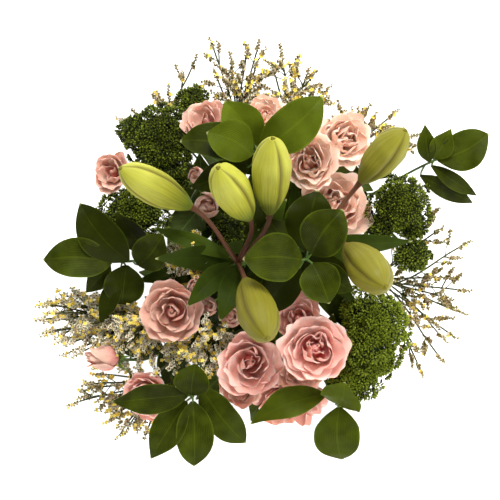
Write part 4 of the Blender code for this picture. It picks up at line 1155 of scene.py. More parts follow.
def bud_pattern(sides, profile):
    """A small closed bud on the z axis: its base point, rings, its tip."""
    turn = np.arange(sides) * math.tau / sides
    points = [(0.0, 0.0, profile[0][0])]
    uv = [(0.5, 0.0)]
    for z, r in profile[1:-1]:
        points += [(r * math.cos(a), r * math.sin(a), z) for a in turn]
        uv += [(k / sides, z) for k in range(sides)]
    points.append((0.0, 0.0, profile[-1][0]))
    uv.append((0.5, 1.0))
    rings = len(profile) - 2
    faces = [(0, 1 + (k + 1) % sides, 1 + k) for k in range(sides)]
    for i in range(rings - 1):
        for k in range(sides):
            a, b = 1 + i * sides + k, 1 + i * sides + (k + 1) % sides
            faces += [(a, b, b + sides), (a, b + sides, a + sides)]
    last = 1 + (rings - 1) * sides
    faces += [(last + k, last + (k + 1) % sides, len(points) - 1) for k in range(sides)]
    return np.array(points), np.array(faces), np.array(uv)


GREEN_BUD = bud_pattern(4, ((0.0, 0.0), (0.55, 0.19), (1.0, 0.0)))


def clump_places(centre, sizes, rng):
    """Where the clumps of a lobe sit, evenly spread over it, and the way out of it at each."""
    area = math.tau * ((sizes[0] * sizes[1]) ** 0.5 * 0.6 + sizes[2] * 0.4) ** 2 * 1.15
    whole = int(area / CLUMP_AREA) * 1.6
    i = np.arange(int(whole))
    z = 1.0 - 2.0 * (i + 0.5) / whole
    i, z = i[z > UNDERSIDE], z[z > UNDERSIDE]
    ring = np.sqrt(1.0 - z * z)
    turn = i * GOLDEN_ANGLE
    ways = np.stack([ring * np.cos(turn), ring * np.sin(turn), z], 1)
    ways = unit(ways + rng.normal(size=ways.shape) * 0.035)
    reach = lobe_surface(ways, centre, sizes)
    out_by = rng.uniform(-4.0, 1.5, len(ways)) + 4.0 * (rng.uniform(0, 1, len(ways)) > 0.86)
    hubs = centre + ways * (reach - 5.0 + out_by)[:, None]
    return hubs, unit(ways / np.array(sizes[:3]) ** 2)


def add_clumps(piece, hubs, normals, painted_light, rng):
    """A clump of closed buds at each hub, painted lighter in its middle, which faces out to the light, than
    round its edge.
    """
    count = len(hubs)
    j = np.tile(np.arange(BUDS_IN_CLUMP), count)
    tilt = np.sqrt((j + 0.5) / BUDS_IN_CLUMP) * 1.35
    spin = j * GOLDEN_ANGLE + np.repeat(rng.uniform(0, 6, count), BUDS_IN_CLUMP)
    axes = axes_towards(np.repeat(normals, BUDS_IN_CLUMP, axis=0), spin * 0)
    aside = axes[:, 0] * np.cos(spin)[:, None] + axes[:, 1] * np.sin(spin)[:, None]
    out = axes[:, 2] * np.cos(tilt)[:, None] + aside * np.sin(tilt)[:, None]
    out = unit(out + rng.normal(size=out.shape) * 0.10)
    length = rng.uniform(3.6, 5.8, len(out))
    away = np.repeat(rng.uniform(0.8, 2.4, count), BUDS_IN_CLUMP) + rng.uniform(-0.5, 0.5, len(out))
    places = np.repeat(hubs, BUDS_IN_CLUMP, axis=0) + out * away[:, None]
    tone_and_painted_light = np.repeat(rng.uniform(-0.2, 0.5, count), BUDS_IN_CLUMP) + rng.uniform(-0.2, 0.2, len(out))
    # Painted light: buds that point out of the clump are lighter, and the head's painted light is added
    tone_and_painted_light = tone_and_painted_light + 1.3 * np.cos(tilt) ** 2 - 0.6 + painted_light
    add_copies(piece, GREEN_BUD, places, axes_towards(out, spin), length, tone_and_painted_light, 0.5, finish=2)


def add_core(piece, centre, sizes):
    """The inside of a lobe, which closes it between the clumps: a sheet painted nearly black as painted
    shade.
    """
    fall = np.repeat(np.linspace(0.02, math.pi - 0.02, CORE_ROWS), CORE_COLUMNS)
    turn = np.tile(np.arange(CORE_COLUMNS) * math.tau / CORE_COLUMNS, CORE_ROWS)
    core = np.stack([np.sin(fall) * np.cos(turn), np.sin(fall) * np.sin(turn), np.cos(fall)], 1)
    quads, uv = lattice(CORE_ROWS, CORE_COLUMNS, closed=True)
    inside = centre + core * (lobe_surface(core, centre, sizes) * 0.70)[:, None]
    piece.add(inside, quads[:, ::-1], uv[:, ::-1], 0.2, 0.0, finish=3)


def trachelium(name, skins):
    """The stem of a head, the dark stalks inside it, and the clumps and core of each lobe."""
    rng = draws_for(name)
    piece = Piece()
    path = add_stem(piece, name, 0.8, sides=10)
    below, root = path[-2 - RISE_STEPS // 4 : -RISE_STEPS // 4]
    for centre, sizes in TRACHELIUM[name] + TRACHELIUM_FILL.get(name, []):
        centre = np.array(centre, float)
        under = centre - UP * sizes[3] * 0.4
        add_tube(piece, cubic(root, root - below, under, UP, 8), np.linspace(1.7, 1.4, 9), 8, 0.5, 0.0)
        hubs, normals = clump_places(centre, sizes, rng)
        for hub, normal in zip(hubs[::6], normals[::6]):
            stalk = cubic(under, UP + (hub - under) * 0.01, hub, normal, 4)
            add_tube(piece, stalk, (1.0, 0.8, 0.7, 0.6, 0.5), 4, 0.3, 0.0, capped=False)
        add_clumps(piece, hubs, normals, TRACHELIUM_PAINTED_LIGHT[name], rng)
        add_core(piece, centre, sizes)
    piece.make(name + "_florets", skins, [name], sharp=70.0)


# Statice: stalks that fork and end in spikes of papery florets

FORK, FORK_STEP = 0.55, 4.0


def funnel_pattern(sides=6):
    """A pleated paper funnel on the z axis, open at the top."""
    turn = np.arange(sides) * math.tau / sides
    points, uv = [], []
    for z, r, pleat in ((0.1, 0.12, 0.0), (1.0, 0.54, 0.16)):
        for k, a in enumerate(turn):
            out = r * (1.0 + pleat * (-1) ** k)
            points.append((out * math.cos(a), out * math.sin(a), z - (0.08 if k % 2 and z > 0.9 else 0.0)))
            uv.append((k / sides, z))
    quads = []
    for k in range(sides):
        a, b = k, (k + 1) % sides
        quads.append((a, b, b + sides, a + sides))
    return np.array(points), np.array(quads), np.array(uv)


def star_pattern(petals=5):
    """A small open flower: petals round a raised middle."""
    points, uv = [(0.0, 0.0, 0.12)], [(0.5, 0.0)]
    for k in range(petals * 2):
        a = k * math.pi / petals
        r = 0.74 if k % 2 == 0 else 0.42
        points.append((r * math.cos(a), r * math.sin(a), 0.26 if k % 2 == 0 else 0.06))
        uv.append((k / petals / 2, 1.0))
    faces = [(0, 1 + k, 1 + (k + 1) % (petals * 2)) for k in range(petals * 2)]
    return np.array(points), np.array(faces), np.array(uv)


# More long spikes, which fill the sprays between those of the solids
STATICE_FILL = {
    "statice_west": [
        (-103, -108, 284), (-126, -84, 292), (-144, -72, 290), (-186, -90, 262), (-172, -72, 276),
        (-150, -106, 270), (-196, -62, 262), (-118, -112, 272), (-100, -92, 288),
        (-198, -78, 256), (-160, -88, 274), (-136, -98, 278), (-112, -76, 292), (-182, -52, 264),
        (-154, -60, 280), (-132, -114, 262), (-206, -50, 262), (-207, -68, 258), (-196, -88, 254),
        (-180, -102, 254), (-160, -114, 254), (-213, -52, 268), (-214, -66, 268), (-210, -80, 264),
        (-205, -60, 276),
    ],
    "statice_southwest": [
        (-75, -98, 300), (-88, -112, 290), (-57, -120, 292), (-34, -72, 306), (-70, -84, 306),
        (-102, -118, 280), (-70, -126, 284), (-46, -104, 300), (-92, -96, 292),
    ],
    "statice_heart": [
        (-72, -24, 296), (-94, -14, 284), (-80, 12, 282), (-64, -2, 292), (-88, -30, 290), (-52, -14, 298),
        (-80, -8, 304), (-70, -22, 308), (-62, 4, 304), (-88, -20, 302),
    ],
    "statice_far_southwest": [
        (-150, -146, 236), (-122, -160, 232), (-162, -118, 246), (-174, -134, 240), (-134, -172, 230),
        (-112, -182, 228), (-186, -148, 240), (-150, -166, 232), (-170, -128, 250), (-140, -180, 230),
    ],
    "statice_north": [(-30, 186, 266), (-24, 160, 276), (-46, 172, 264), (-4, 178, 274)],
    "statice_north_right": [(34, 178, 274), (52, 156, 276), (10, 176, 276), (38, 150, 282)],
    "statice_northwest": [(-74, 170, 250), (-104, 148, 244)],
    "statice_northeast": [(96, 134, 264), (118, 118, 262), (72, 140, 268)],
    "statice_east": [(186, -26, 246), (180, -46, 246), (186, -84, 238), (150, -98, 244), (172, 22, 256)],
}
FUNNEL = funnel_pattern()
STAR = star_pattern()
SCALE_LEAF = bud_pattern(3, ((0.0, 0.0), (0.30, 0.26), (0.70, 0.22), (1.0, 0.0)))

# Each spray: the share of its florets in flower, how far its funnels are over, twigs a leader
STATICE_LOOKS = {
    "statice_north": (0.12, 0.55, 6),
    "statice_north_right": (0.14, 0.45, 6),
    "statice_northwest": (0.15, 0.45, 4),
    "statice_northeast": (0.10, 0.60, 5),
    "statice_east": (0.06, 0.75, 5),
    "statice_west": (0.20, 0.05, 9),
    "statice_southwest": (0.26, 0.10, 9),
    "statice_heart": (0.18, 0.40, 6),
    "statice_far_southwest": (0.18, 0.45, 5),
}


def add_spike(piece, root, way, tip, look, rng, stalk_radius=0.75, bends=8):
    """A thin stalk that ends in two rows of florets. Also its path."""
    settings = bpy.context.scene.bouquet_statice
    flowering, over = look
    root, tip = np.array(root, float), np.array(tip, float)
    arrive = unit(unit(tip - root) + UP * 0.2)
    length = min(rng.uniform(11.0, 17.0), np.linalg.norm(tip - root) * 0.8)
    neck = tip - arrive * length
    path = cubic(root, way, neck, arrive, bends)
    side = unit(np.cross(arrive, UP) + rng.normal(size=3) * 0.25)
    bend = unit(np.cross(side, arrive))
    share = np.linspace(0, 1, 6)[1:, None]
    crook = neck + arrive * length * share + bend * length * 0.10 * np.sin(math.pi * share * 0.9)
    whole = np.concatenate([path, crook])
    radius = np.concatenate([np.full(len(path), stalk_radius), np.linspace(0.6, 0.35, 5)])
    add_tube(piece, whole, radius, 4, rng.uniform(0, 1), 0.0, capped=False)
    size = settings.floret_length / MM
    count = int(length / (size * (0.50 - 0.16 * over)))
    i = np.arange(count)
    along = (i + 0.3) / count
    bow = length * 0.10 * np.sin(math.pi * along * 0.9)
    spots = neck + arrive * (length * along)[:, None] + bend * bow[:, None]
    hand = np.where(i % 2 == 0, 1.0, -1.0)[:, None]
    spread = 1.0 - 0.45 * over
    ways = arrive * 0.9 + bend * spread * rng.uniform(0.5, 1.1, (count, 1))
    ways = unit(ways + side * hand * spread * rng.uniform(0.5, 0.95, (count, 1)))
    spin = rng.uniform(0, math.tau, count)
    grown = size * rng.uniform(0.8, 1.2, count) * (1.0 - 0.3 * along)
    axes = axes_towards(ways, spin)
    aged = np.clip(over + rng.normal(size=count) * 0.18, 0, 1)
    tint = rng.uniform(0, 1, count)
    add_copies(piece, SCALE_LEAF, spots, axes, grown * (1.05 + 0.3 * over), tint, aged, finish=2)
    papery = rng.uniform(0, 1, count) > 0.10 + over * 0.35
    if papery.any():
        tint = rng.uniform(0, 1, papery.sum())
        sizes = grown[papery] * 1.1
        add_copies(piece, FUNNEL, spots[papery], axes[papery], sizes, tint, aged[papery], finish=3)
    blown = rng.uniform(0, 1, count) < flowering
    if blown.any():
        mouths = spots[blown] + ways[blown] * (grown[blown] * 1.02)[:, None]
        tint = rng.uniform(0, 1, blown.sum())
        add_copies(piece, STAR, mouths, axes[blown], grown[blown] * 1.15, tint, 0.0, finish=4)
    return path


def statice(name, skins):
    """A spray of statice: each long spike of its table, the side spikes and smaller ones between."""
    rng = draws_for(name)
    piece = Piece()
    path = add_stem(piece, name, 0.7, sides=8, ridges=0.10)
    rising = unit(path[-1] - path[-2])
    *look, twigs = STATICE_LOOKS[name]
    leaders = STATICE_SPIKES[name] + [(tip, []) for tip in STATICE_FILL[name]]
    for i, (tip, side_tips) in enumerate(leaders):
        tip = np.array(tip, float)
        root = path[-1] - rising * (1.5 + FORK_STEP * min(i, len(STATICE_SPIKES[name])))
        leader = add_spike(piece, root, rising + unit(tip - root) * 2.0, tip, look, rng, 0.85)
        fork = leader[4] * (1 - FORK) + leader[8] * FORK
        for side_tip in side_tips:
            side_tip = np.array(side_tip, float)
            add_spike(piece, fork, side_tip - fork, side_tip, look, rng)
        # Twigs leave the outer half of the leader on both sides, a little up
        for _ in range(twigs):
            at = rng.uniform(0.30, 1.0) * (len(leader) - 2)
            low = leader[int(at)] + (leader[int(at) + 1] - leader[int(at)]) * (at % 1.0)
            out = unit(leader[int(at) + 1] - leader[int(at)])
            aside = unit(np.cross(out, UP)) * rng.choice((-1, 1)) * rng.uniform(0.5, 1.3)
            lift = UP * rng.uniform(-0.15, 0.75)
            twig = unit(out * 0.9 + aside + lift) * rng.uniform(12.0, 27.0)
            add_spike(piece, low, out * 0.6 + twig * 0.04, low + twig, look, rng, 0.45, 3)
    piece.make(name + "_florets", skins, [name], sharp=60.0)


# The tie

TWINE_RADIUS = 1.4
TWINE_SIDES = 15
TIE_TURNS = 3.0
FRAYED_FIBRES = 26


def add_fibre(piece, points, radii, sides):
    """A single loose fibre of the jute."""
    add_tube(piece, points, radii, sides, 0.8, 0.2, capped=False)


def twine_paths():
    """The middle lines of the twine: the band, the crossing over it, the knot's loop and two tails."""
    ring = TIE_INNER_RADIUS + TWINE_RADIUS
    start = -math.pi / 2 - 0.10
    angle = np.linspace(start, start + TIE_TURNS * math.tau + 0.2, 460)
    z = TIE_Z + TWINE_RADIUS * 2.0 * ((angle - start) / math.tau - TIE_TURNS / 2)
    z = z + 0.12 * np.sin(angle * 5)
    band = np.stack([np.cos(angle) * ring, np.sin(angle) * ring, z], 1)
    front = -(ring + TWINE_RADIUS)
    low, high = (-4, front + 1.2, TIE_Z - 4.5), (5, front + 1.2, TIE_Z + 4.4)
    cross = cubic(low, (1, -1.2, 1.6), high, (0.8, 1.4, 1), 40)
    a = np.linspace(0.0, 1.35 * math.tau, 90)
    loop = (2.9 * np.cos(a) + 0.2, front - 1.4 - 1.6 * np.sin(a * 1.5), TIE_Z + 2.8 * np.sin(a))
    tails = []
    for side, drop in ((-1, 24), (1, 18)):
        begin = (side * 2, front - 1.6, TIE_Z - 1)
        end = (side * 13, front - 9, TIE_Z - drop)
        tails.append(cubic(begin, (side, -1.5, 0.3), end, (side * 0.2, 0, -1), 60))
    return [band, cross, np.stack(loop, 1)], tails


def twine_tie(jute):
    """Three turns of twisted jute, the knot over them and its two frayed tails."""
    settings = bpy.context.scene.bouquet_tie
    rng = np.random.default_rng(5)
    piece = Piece()
    wound, tails = twine_paths()
    corner = np.arange(TWINE_SIDES) * math.tau / TWINE_SIDES
    for n, path in enumerate(wound + tails):
        is_tail = n >= len(wound)
        step = np.concatenate([[0], np.cumsum(np.linalg.norm(np.diff(path, axis=0), axis=1))])
        phase = step[:, None] / (settings.twist / MM) * math.tau
        relief = 1.0 + 0.15 * np.abs(np.cos((corner[None] - phase) * 1.5)) - 0.12
        size = np.full(len(path), TWINE_RADIUS * 0.98)
        if is_tail:
            size *= 1.0 + 0.35 * ease(0.86, 1.0, np.linspace(0, 1, len(path)))
        crest = (relief - 0.88) / 0.15
        add_tube(piece, path, size, TWINE_SIDES, rng.uniform(0, 1), crest, relief=relief)
        for _ in range(int(step[-1] * (1.5 if is_tail else 0.55))):
            at = rng.integers(1, len(path) - 1)
            way = unit(path[at + 1] - path[at - 1])
            spoke = unit(np.cross(way, rng.normal(size=3)))
            root = path[at] + spoke * TWINE_RADIUS * 0.9
            tip = root + spoke * rng.uniform(0.3, 1.6) + way * rng.normal() * 2.0
            line = cubic(root, spoke + way, tip, way + spoke * 0.2, 3)
            add_fibre(piece, line, (0.07, 0.06, 0.05, 0.03), 3)
        if is_tail:
            way = unit(path[-1] - path[-2])
            for _ in range(FRAYED_FIBRES):
                spoke = unit(np.cross(way, rng.normal(size=3)))
                root = path[-1] + spoke * rng.uniform(0, TWINE_RADIUS) - way * 0.5
                tip = root + way * rng.uniform(2.0, 5.5) + spoke * rng.uniform(0.0, 2.2)
                add_fibre(piece, cubic(root, way, tip, way + spoke, 3), (0.16, 0.14, 0.10, 0.05), 4)
    piece.make("twine_tie_strands", [jute], ["twine_tie"], sharp=60.0)


# Materials. Each pattern's scale comes from a real size, so it doesn't change with the camera.


def put(tree, kind, inputs=None, out=0, stops=None, **settings):
    """Add a shader node and give one of its outputs.

    inputs has a value or another node's output for each input, and stops the colours of a ramp.
    """
    made = tree.nodes.new("ShaderNode" + kind)
    for name, value in settings.items():
        setattr(made, name, value)
    for key, value in (inputs or {}).items():
        if isinstance(value, bpy.types.NodeSocket):
            tree.links.new(value, made.inputs[key])
        else:
            made.inputs[key].default_value = value
    if stops:
        ramp = made.color_ramp
        while len(ramp.elements) < len(stops):
            ramp.elements.new(0.5)
        for element, (place, shade) in zip(ramp.elements, stops):
            element.position = place
            element.color = (*shade[:3], 1.0) if hasattr(shade, "__len__") else (shade, shade, shade, 1.0)
    return made.outputs[out]


def begin_finish(name, marks, patch, detail, **inputs):
    """A new material, its tree, the cloudy patches of its surface, patch mm in size, and each mark.

    The marks of a piece are its tint, its layer and its size, and each material reads its own.
    """
    made = bpy.data.materials.new(name)
    made.use_nodes = True
    tree = made.node_tree
    for key, value in inputs.items():
        tree.nodes["Principled BSDF"].inputs[key.replace("_", " ")].default_value = value
    place = put(tree, "NewGeometry", out="Position")
    cloud = put(tree, "TexNoise", {"Vector": place, "Scale": 1.0 / (patch * MM), "Detail": detail})
    read = [put(tree, "Attribute", out="Fac", attribute_name=mark) for mark in marks]
    return made, tree, cloud, *read


def close_finish(made, cloud, colour, roughness, height, strength, depth):
    """Give the surface its colour, a relief depth mm deep, and a roughness from low to high."""
    tree = made.node_tree
    ends = {"Base Color": colour}
    ends["Normal"] = put(tree, "Bump", {"Strength": strength, "Distance": depth * MM, "Height": height})
    if roughness:
        low, high = roughness
        ends["Roughness"] = put(tree, "MapRange", {0: cloud, 1: 0.3, 2: 0.7, 3: low, 4: high})
    for key, value in ends.items():
        tree.links.new(value, tree.nodes["Principled BSDF"].inputs[key])
    return made


def across_and_along(tree):
    """Where a point is on its petal, leaf or stalk: across it and along it, each from 0 to 1."""
    across = put(tree, "SeparateXYZ", {0: put(tree, "UVMap", uv_map="Pattern")})
    return across, across.node.outputs[1]


def lines_along(tree, across, along, detail):
    """Fine lines along a piece: so many lie side by side across it, and so many end to end."""
    where = put(tree, "UVMap", uv_map="Pattern")
    drawn = put(tree, "Mapping", {"Vector": where, "Scale": (across, along, 1.0)})
    return put(tree, "TexNoise", {"Vector": drawn, "Scale": 1.0, "Detail": detail})


def off_rib(tree, across):
    """How far a point is from the rib, up to 0.5 at the edge."""
    off = put(tree, "Math", {0: across, 1: 0.5}, operation="SUBTRACT")
    return put(tree, "Math", {0: off}, operation="ABSOLUTE")


def petal_finish(name, heart, rim):
    """Rose petal: a soft matt skin that lets some light through at its thin edges.

    Faint veins fan out from the foot, and the foot holds the deeper colour, deepened with painted shade
    towards the heart; the thin edges are also painted paler, as painted light.
    """
    made, tree, cloud, tint, layer = begin_finish(
        name,
        ("tint", "layer"),
        patch=7.69,
        detail=4.0,
        Subsurface_Weight=0.35,
        Subsurface_Radius=(0.9, 0.35, 0.22),
        Subsurface_Scale=0.0012,
        Sheen_Weight=0.12,
        Sheen_Roughness=0.5,
        IOR=1.40,
    )
    across, along = across_and_along(tree)
    # How far out a point is: up the petal, and out from the heart of the rose. The low end is painted shade,
    # at the foot and deep in the heart, as well as the deeper colour.
    value = put(tree, "Math", {0: along, 1: 0.62}, operation="MULTIPLY")
    for part, share in ((layer, 0.45), (tint, 0.30), (cloud, 0.30)):
        value = put(tree, "Math", {0: part, 1: share, 2: value}, operation="MULTIPLY_ADD")
    # deep is the heart colour darkened: painted shade in the creases and at the foot
    deep = [c * share for c, share in zip(heart, (1.0, 0.58, 0.48))]
    pale = [min(1.0, c * 1.06 + 0.03) for c in rim]
    colour = put(tree, "ValToRGB", {0: value}, stops=((0.20, deep), (0.48, heart), (0.80, rim), (1.0, pale)))
    # 46 veins across a petal about 40 mm wide are nearly one each millimetre
    vein = lines_along(tree, 46.0, 3.2, detail=3.0)
    shade = put(tree, "MapRange", {0: vein, 1: 0.35, 2: 0.70, 3: 0.92, 4: 1.03})
    colour = put(tree, "Mix", {0: 1.0, 6: colour, 7: shade}, out=2, data_type="RGBA", blend_type="MULTIPLY")
    # Painted light: the thin edge and the lip are painted paler, for the light that comes through them
    side = put(tree, "MapRange", {0: off_rib(tree, across), 1: 0.40, 2: 0.5, 3: 0.0, 4: 0.55})
    lip = put(tree, "MapRange", {0: along, 1: 0.88, 2: 1.0, 3: 0.0, 4: 0.75})
    thin = put(tree, "Math", {0: side, 1: lip}, operation="MAXIMUM")
    colour = put(tree, "Mix", {0: thin, 6: colour, 7: (*pale, 1.0)}, out=2, data_type="RGBA")
    return close_finish(made, cloud, colour, (0.46, 0.62), vein, strength=0.45, depth=0.3)


def tepal_finish(settings):
    """Lily bud: a waxy skin with fine lengthwise lines, green at the foot and brown in the grooves, where
    the brown is darkened as painted shade.
    """
    made, tree, cloud, tint, groove = begin_finish(
        "lily_bud_waxy_skin",
        ("tint", "layer"),
        patch=14.29,
        detail=3.0,
        Subsurface_Weight=0.12,
        Subsurface_Radius=(0.7, 0.8, 0.2),
        Subsurface_Scale=0.003,
        Specular_IOR_Level=0.2,
    )
    _, along = across_and_along(tree)
    # 64 lines round a bud of 34 mm are one each 1.7 mm
    streak = lines_along(tree, 64.0, 3.0, detail=5.0)
    value = put(tree, "Math", {0: streak, 1: 0.35, 2: along}, operation="MULTIPLY_ADD")
    value = put(tree, "Math", {0: cloud, 1: 0.25, 2: value}, operation="MULTIPLY_ADD")
    value = put(tree, "Math", {0: value, 1: 0.625}, operation="MULTIPLY")
    green, bud, brown = settings.bud_green, settings.bud, linear("#8C7434")
    light = [min(1.0, c * 1.25 + 0.02) for c in bud]
    stops = ((0.22, green), (0.42, bud), (0.66, light), (0.86, bud), (0.96, brown))
    colour = put(tree, "ValToRGB", {0: value}, stops=stops)
    # The tint of a bud is how far it has turned to gold
    gold = (*linear("#6C6410"), 1.0)
    colour = put(tree, "Mix", {0: tint, 6: colour, 7: gold}, out=2, data_type="RGBA")
    shade = put(tree, "MapRange", {0: streak, 1: 0.38, 2: 0.62, 3: 0.88, 4: 1.04})
    colour = put(tree, "Mix", {0: 1.0, 6: colour, 7: shade}, out=2, data_type="RGBA", blend_type="MULTIPLY")
    # Painted shade and a brown tinge in the grooves
    seam = put(tree, "MapRange", {0: groove, 1: 0.05, 2: 0.95, 3: 0.0, 4: 0.85})
    colour = put(tree, "Mix", {0: seam, 6: colour, 7: (*settings.seam, 1.0)}, out=2, data_type="RGBA")
    return close_finish(made, cloud, colour, (0.44, 0.60), streak, strength=0.4, depth=0.4)


def leaf_finish(name, shade, painted_light, spacing, roughness):
    """Long or broad leaf with parallel veins, spacing mm apart, which run together at its tip.

    Its wax is smooth, so only the curves that face a light show a pale sheen. Each leaf is also painted
    lighter or darker by its light mark, as painted light and shade.
    """
    made, tree, cloud, tint, light, width = begin_finish(
        name,
        ("tint", "layer", "size"),
        patch=16.67,
        detail=4.0,
        Subsurface_Weight=0.06,
        Subsurface_Radius=(0.3, 0.6, 0.1),
        Subsurface_Scale=0.002,
        Specular_IOR_Level=0.04,
    )
    across, along = across_and_along(tree)
    # Veins: one wave for each spacing across the leaf's width, and finer ones between
    place = put(tree, "Math", {0: across, 1: width}, operation="MULTIPLY")
    place = put(tree, "Math", {0: cloud, 1: 0.8, 2: place}, operation="MULTIPLY_ADD")
    phase = put(tree, "Math", {0: place, 1: math.tau / spacing}, operation="MULTIPLY")
    vein = put(tree, "Math", {0: phase}, operation="SINE")
    fine = put(tree, "Math", {0: phase, 1: 3.1}, operation="MULTIPLY")
    fine = put(tree, "Math", {0: fine}, operation="SINE")
    veins = put(tree, "Math", {0: fine, 1: 0.35, 2: vein}, operation="MULTIPLY_ADD")
    off = off_rib(tree, across)
    rib = put(tree, "MapRange", {0: off, 1: 0.0, 2: 0.035, 3: 1.0, 4: 0.0})
    rim = put(tree, "MapRange", {0: off, 1: 0.455, 2: 0.495, 3: 0.0, 4: 1.0})
    # Painted light: each leaf's light mark, lit or in shade by where it lies, to which its patches, veins,
    # fresher tip, rib and rim add
    value = light
    for part, share in ((cloud, 0.55), (tint, 0.20), (veins, 0.05), (along, 0.12), (rib, 0.15), (rim, 0.28)):
        value = put(tree, "Math", {0: part, 1: share, 2: value}, operation="MULTIPLY_ADD")
    value = put(tree, "Math", {0: value, 1: 0.60}, operation="MULTIPLY")
    # Painted shade and light: the darkest stop is the shade colour halved, the brightest the lit colour
    dark = [c * 0.5 for c in shade]
    middle = [(a + b) / 2 for a, b in zip(shade, painted_light)]
    stops = ((0.12, dark), (0.36, shade), (0.58, middle), (0.82, painted_light))
    colour = put(tree, "ValToRGB", {0: value}, stops=stops)
    # The very tip is dry
    tip = put(tree, "MapRange", {0: along, 1: 0.965, 2: 0.995, 3: 0.0, 4: 0.8})
    dry = (*linear("#B9B77A"), 1.0)
    colour = put(tree, "Mix", {0: tip, 6: colour, 7: dry}, out=2, data_type="RGBA")
    rough = (roughness - 0.04, roughness + 0.06)
    return close_finish(made, cloud, colour, rough, veins, strength=0.30, depth=0.3)


def rose_leaf_finish(settings):
    """Rose leaf: matt green, with a pale rib and side veins that run out to the teeth of its edge."""
    made, tree, cloud, tint = begin_finish(
        "rose_leaf_skin", ["tint"], patch=11.11, detail=4.0, Specular_IOR_Level=0.25
    )
    across, along = across_and_along(tree)
    # The net of finest veins has cells of 2.4 mm, as coarse as it needs to show
    place = put(tree, "NewGeometry", out="Position")
    cells = put(tree, "TexVoronoi", {"Vector": place, "Scale": 1.0 / (2.38 * MM)})
    off = off_rib(tree, across)
    rib = put(tree, "MapRange", {0: off, 1: 0.006, 2: 0.03, 3: 1.0, 4: 0.0})
    # Nine side veins slant up from the rib
    slant = put(tree, "Math", {0: off, 1: -0.55, 2: along}, operation="MULTIPLY_ADD")
    wave = put(tree, "Math", {0: slant, 1: math.tau * 9}, operation="MULTIPLY")
    wave = put(tree, "Math", {0: wave}, operation="SINE")
    side = put(tree, "MapRange", {0: wave, 1: 0.88, 2: 1.0, 3: 0.0, 4: 0.35})
    veins = put(tree, "Math", {0: rib, 1: side}, operation="MAXIMUM")
    value = put(tree, "Math", {0: tint, 1: 0.35, 2: cloud}, operation="MULTIPLY_ADD")
    value = put(tree, "Math", {0: cells, 1: 0.12, 2: value}, operation="MULTIPLY_ADD")
    dark, leaf, light = ([c * share for c in settings.leaf] for share in (0.6, 1.0, 1.7))
    colour = put(tree, "ValToRGB", {0: value}, stops=((0.30, dark), (0.65, leaf), (1.0, light)))
    pale_green = (*linear("#56752F"), 1.0)
    colour = put(tree, "Mix", {0: veins, 6: colour, 7: pale_green}, out=2, data_type="RGBA")
    sunk = put(tree, "Math", {0: veins, 1: -1.0, 2: cells}, operation="MULTIPLY_ADD")
    return close_finish(made, cloud, colour, (0.42, 0.62), sunk, strength=0.5, depth=0.3)


def stem_finish(name, fresh, shaded, ripe, roughness=0.48):
    """Stem: smooth green skin with fibres along it, and patches of the ripe colour where layer is 1."""
    made, tree, cloud, tint, ripeness = begin_finish(
        name, ("tint", "layer"), patch=9.09, detail=5.0, Specular_IOR_Level=0.3
    )
    fibre = lines_along(tree, 26.0, 9.0, detail=4.0)
    value = put(tree, "Math", {0: fibre, 1: 0.5, 2: cloud}, operation="MULTIPLY_ADD")
    value = put(tree, "Math", {0: tint, 1: 0.25, 2: value}, operation="MULTIPLY_ADD")
    colour = put(tree, "ValToRGB", {0: value}, stops=((0.50, shaded), (0.85, fresh)))
    grown = put(tree, "Math", {0: cloud, 1: 0.5, 2: ripeness}, operation="MULTIPLY_ADD")
    share = put(tree, "MapRange", {0: grown, 1: 0.55, 2: 1.05, 3: 0.0, 4: 1.0})
    colour = put(tree, "Mix", {0: share, 6: colour, 7: (*ripe, 1.0)}, out=2, data_type="RGBA")
    rough = (roughness - 0.08, roughness + 0.12)
    return close_finish(made, cloud, colour, rough, fibre, strength=0.35, depth=0.3)


def cut_finish():
    """Cut end: a wet pale pith in a ring of darker wood, sliced across. All stems share it."""
    name = "stem_cut_pith"
    if name in bpy.data.materials:
        return bpy.data.materials[name]
    made, tree, grain = begin_finish(
        name, [], patch=0.625, detail=4.0, Subsurface_Weight=0.1, Subsurface_Scale=0.002
    )
    outward, _ = across_and_along(tree)
    value = put(tree, "Math", {0: grain, 1: 0.35, 2: outward}, operation="MULTIPLY_ADD")
    value = put(tree, "Math", {0: value, 1: 0.75}, operation="MULTIPLY")
    pith, wood, bark = linear("#DADFB0"), linear("#B4BF7A"), linear("#5F7A33")
    colour = put(tree, "ValToRGB", {0: value}, stops=((0.45, pith), (0.72, wood), (0.92, bark)))
    return close_finish(made, grain, colour, (0.45, 0.75), grain, strength=0.5, depth=0.2)


def floret_finish(name, foot, body, tip, roughness, faded=None, **inputs):
    """Small buds, scales and florets: the colour runs from foot to tip, and each one differs a little.

    faded is the colour of those that are over, where layer is 1.
    """
    made, tree, cloud, tint, age = begin_finish(name, ("tint", "layer"), patch=4.167, detail=3.0, **inputs)
    _, along = across_and_along(tree)
    # The tint is a random tone; in the trachelium it also carries painted light
    value = put(tree, "Math", {0: tint, 1: 0.45, 2: along}, operation="MULTIPLY_ADD")
    value = put(tree, "Math", {0: cloud, 1: 0.45, 2: value}, operation="MULTIPLY_ADD")
    value = put(tree, "Math", {0: value, 1: 0.55}, operation="MULTIPLY")
    colour = put(tree, "ValToRGB", {0: value}, stops=((0.15, foot), (0.50, body), (0.88, tip)))
    if faded:
        share = put(tree, "MapRange", {0: age, 1: 0.25, 2: 0.9, 3: 0.0, 4: 0.85})
        colour = put(tree, "Mix", {0: share, 6: colour, 7: (*faded, 1.0)}, out=2, data_type="RGBA")
    rib = lines_along(tree, 30.0, 3.0, detail=2.0)
    rough = (roughness - 0.08, roughness + 0.12)
    return close_finish(made, cloud, colour, rough, rib, strength=0.4, depth=0.2)


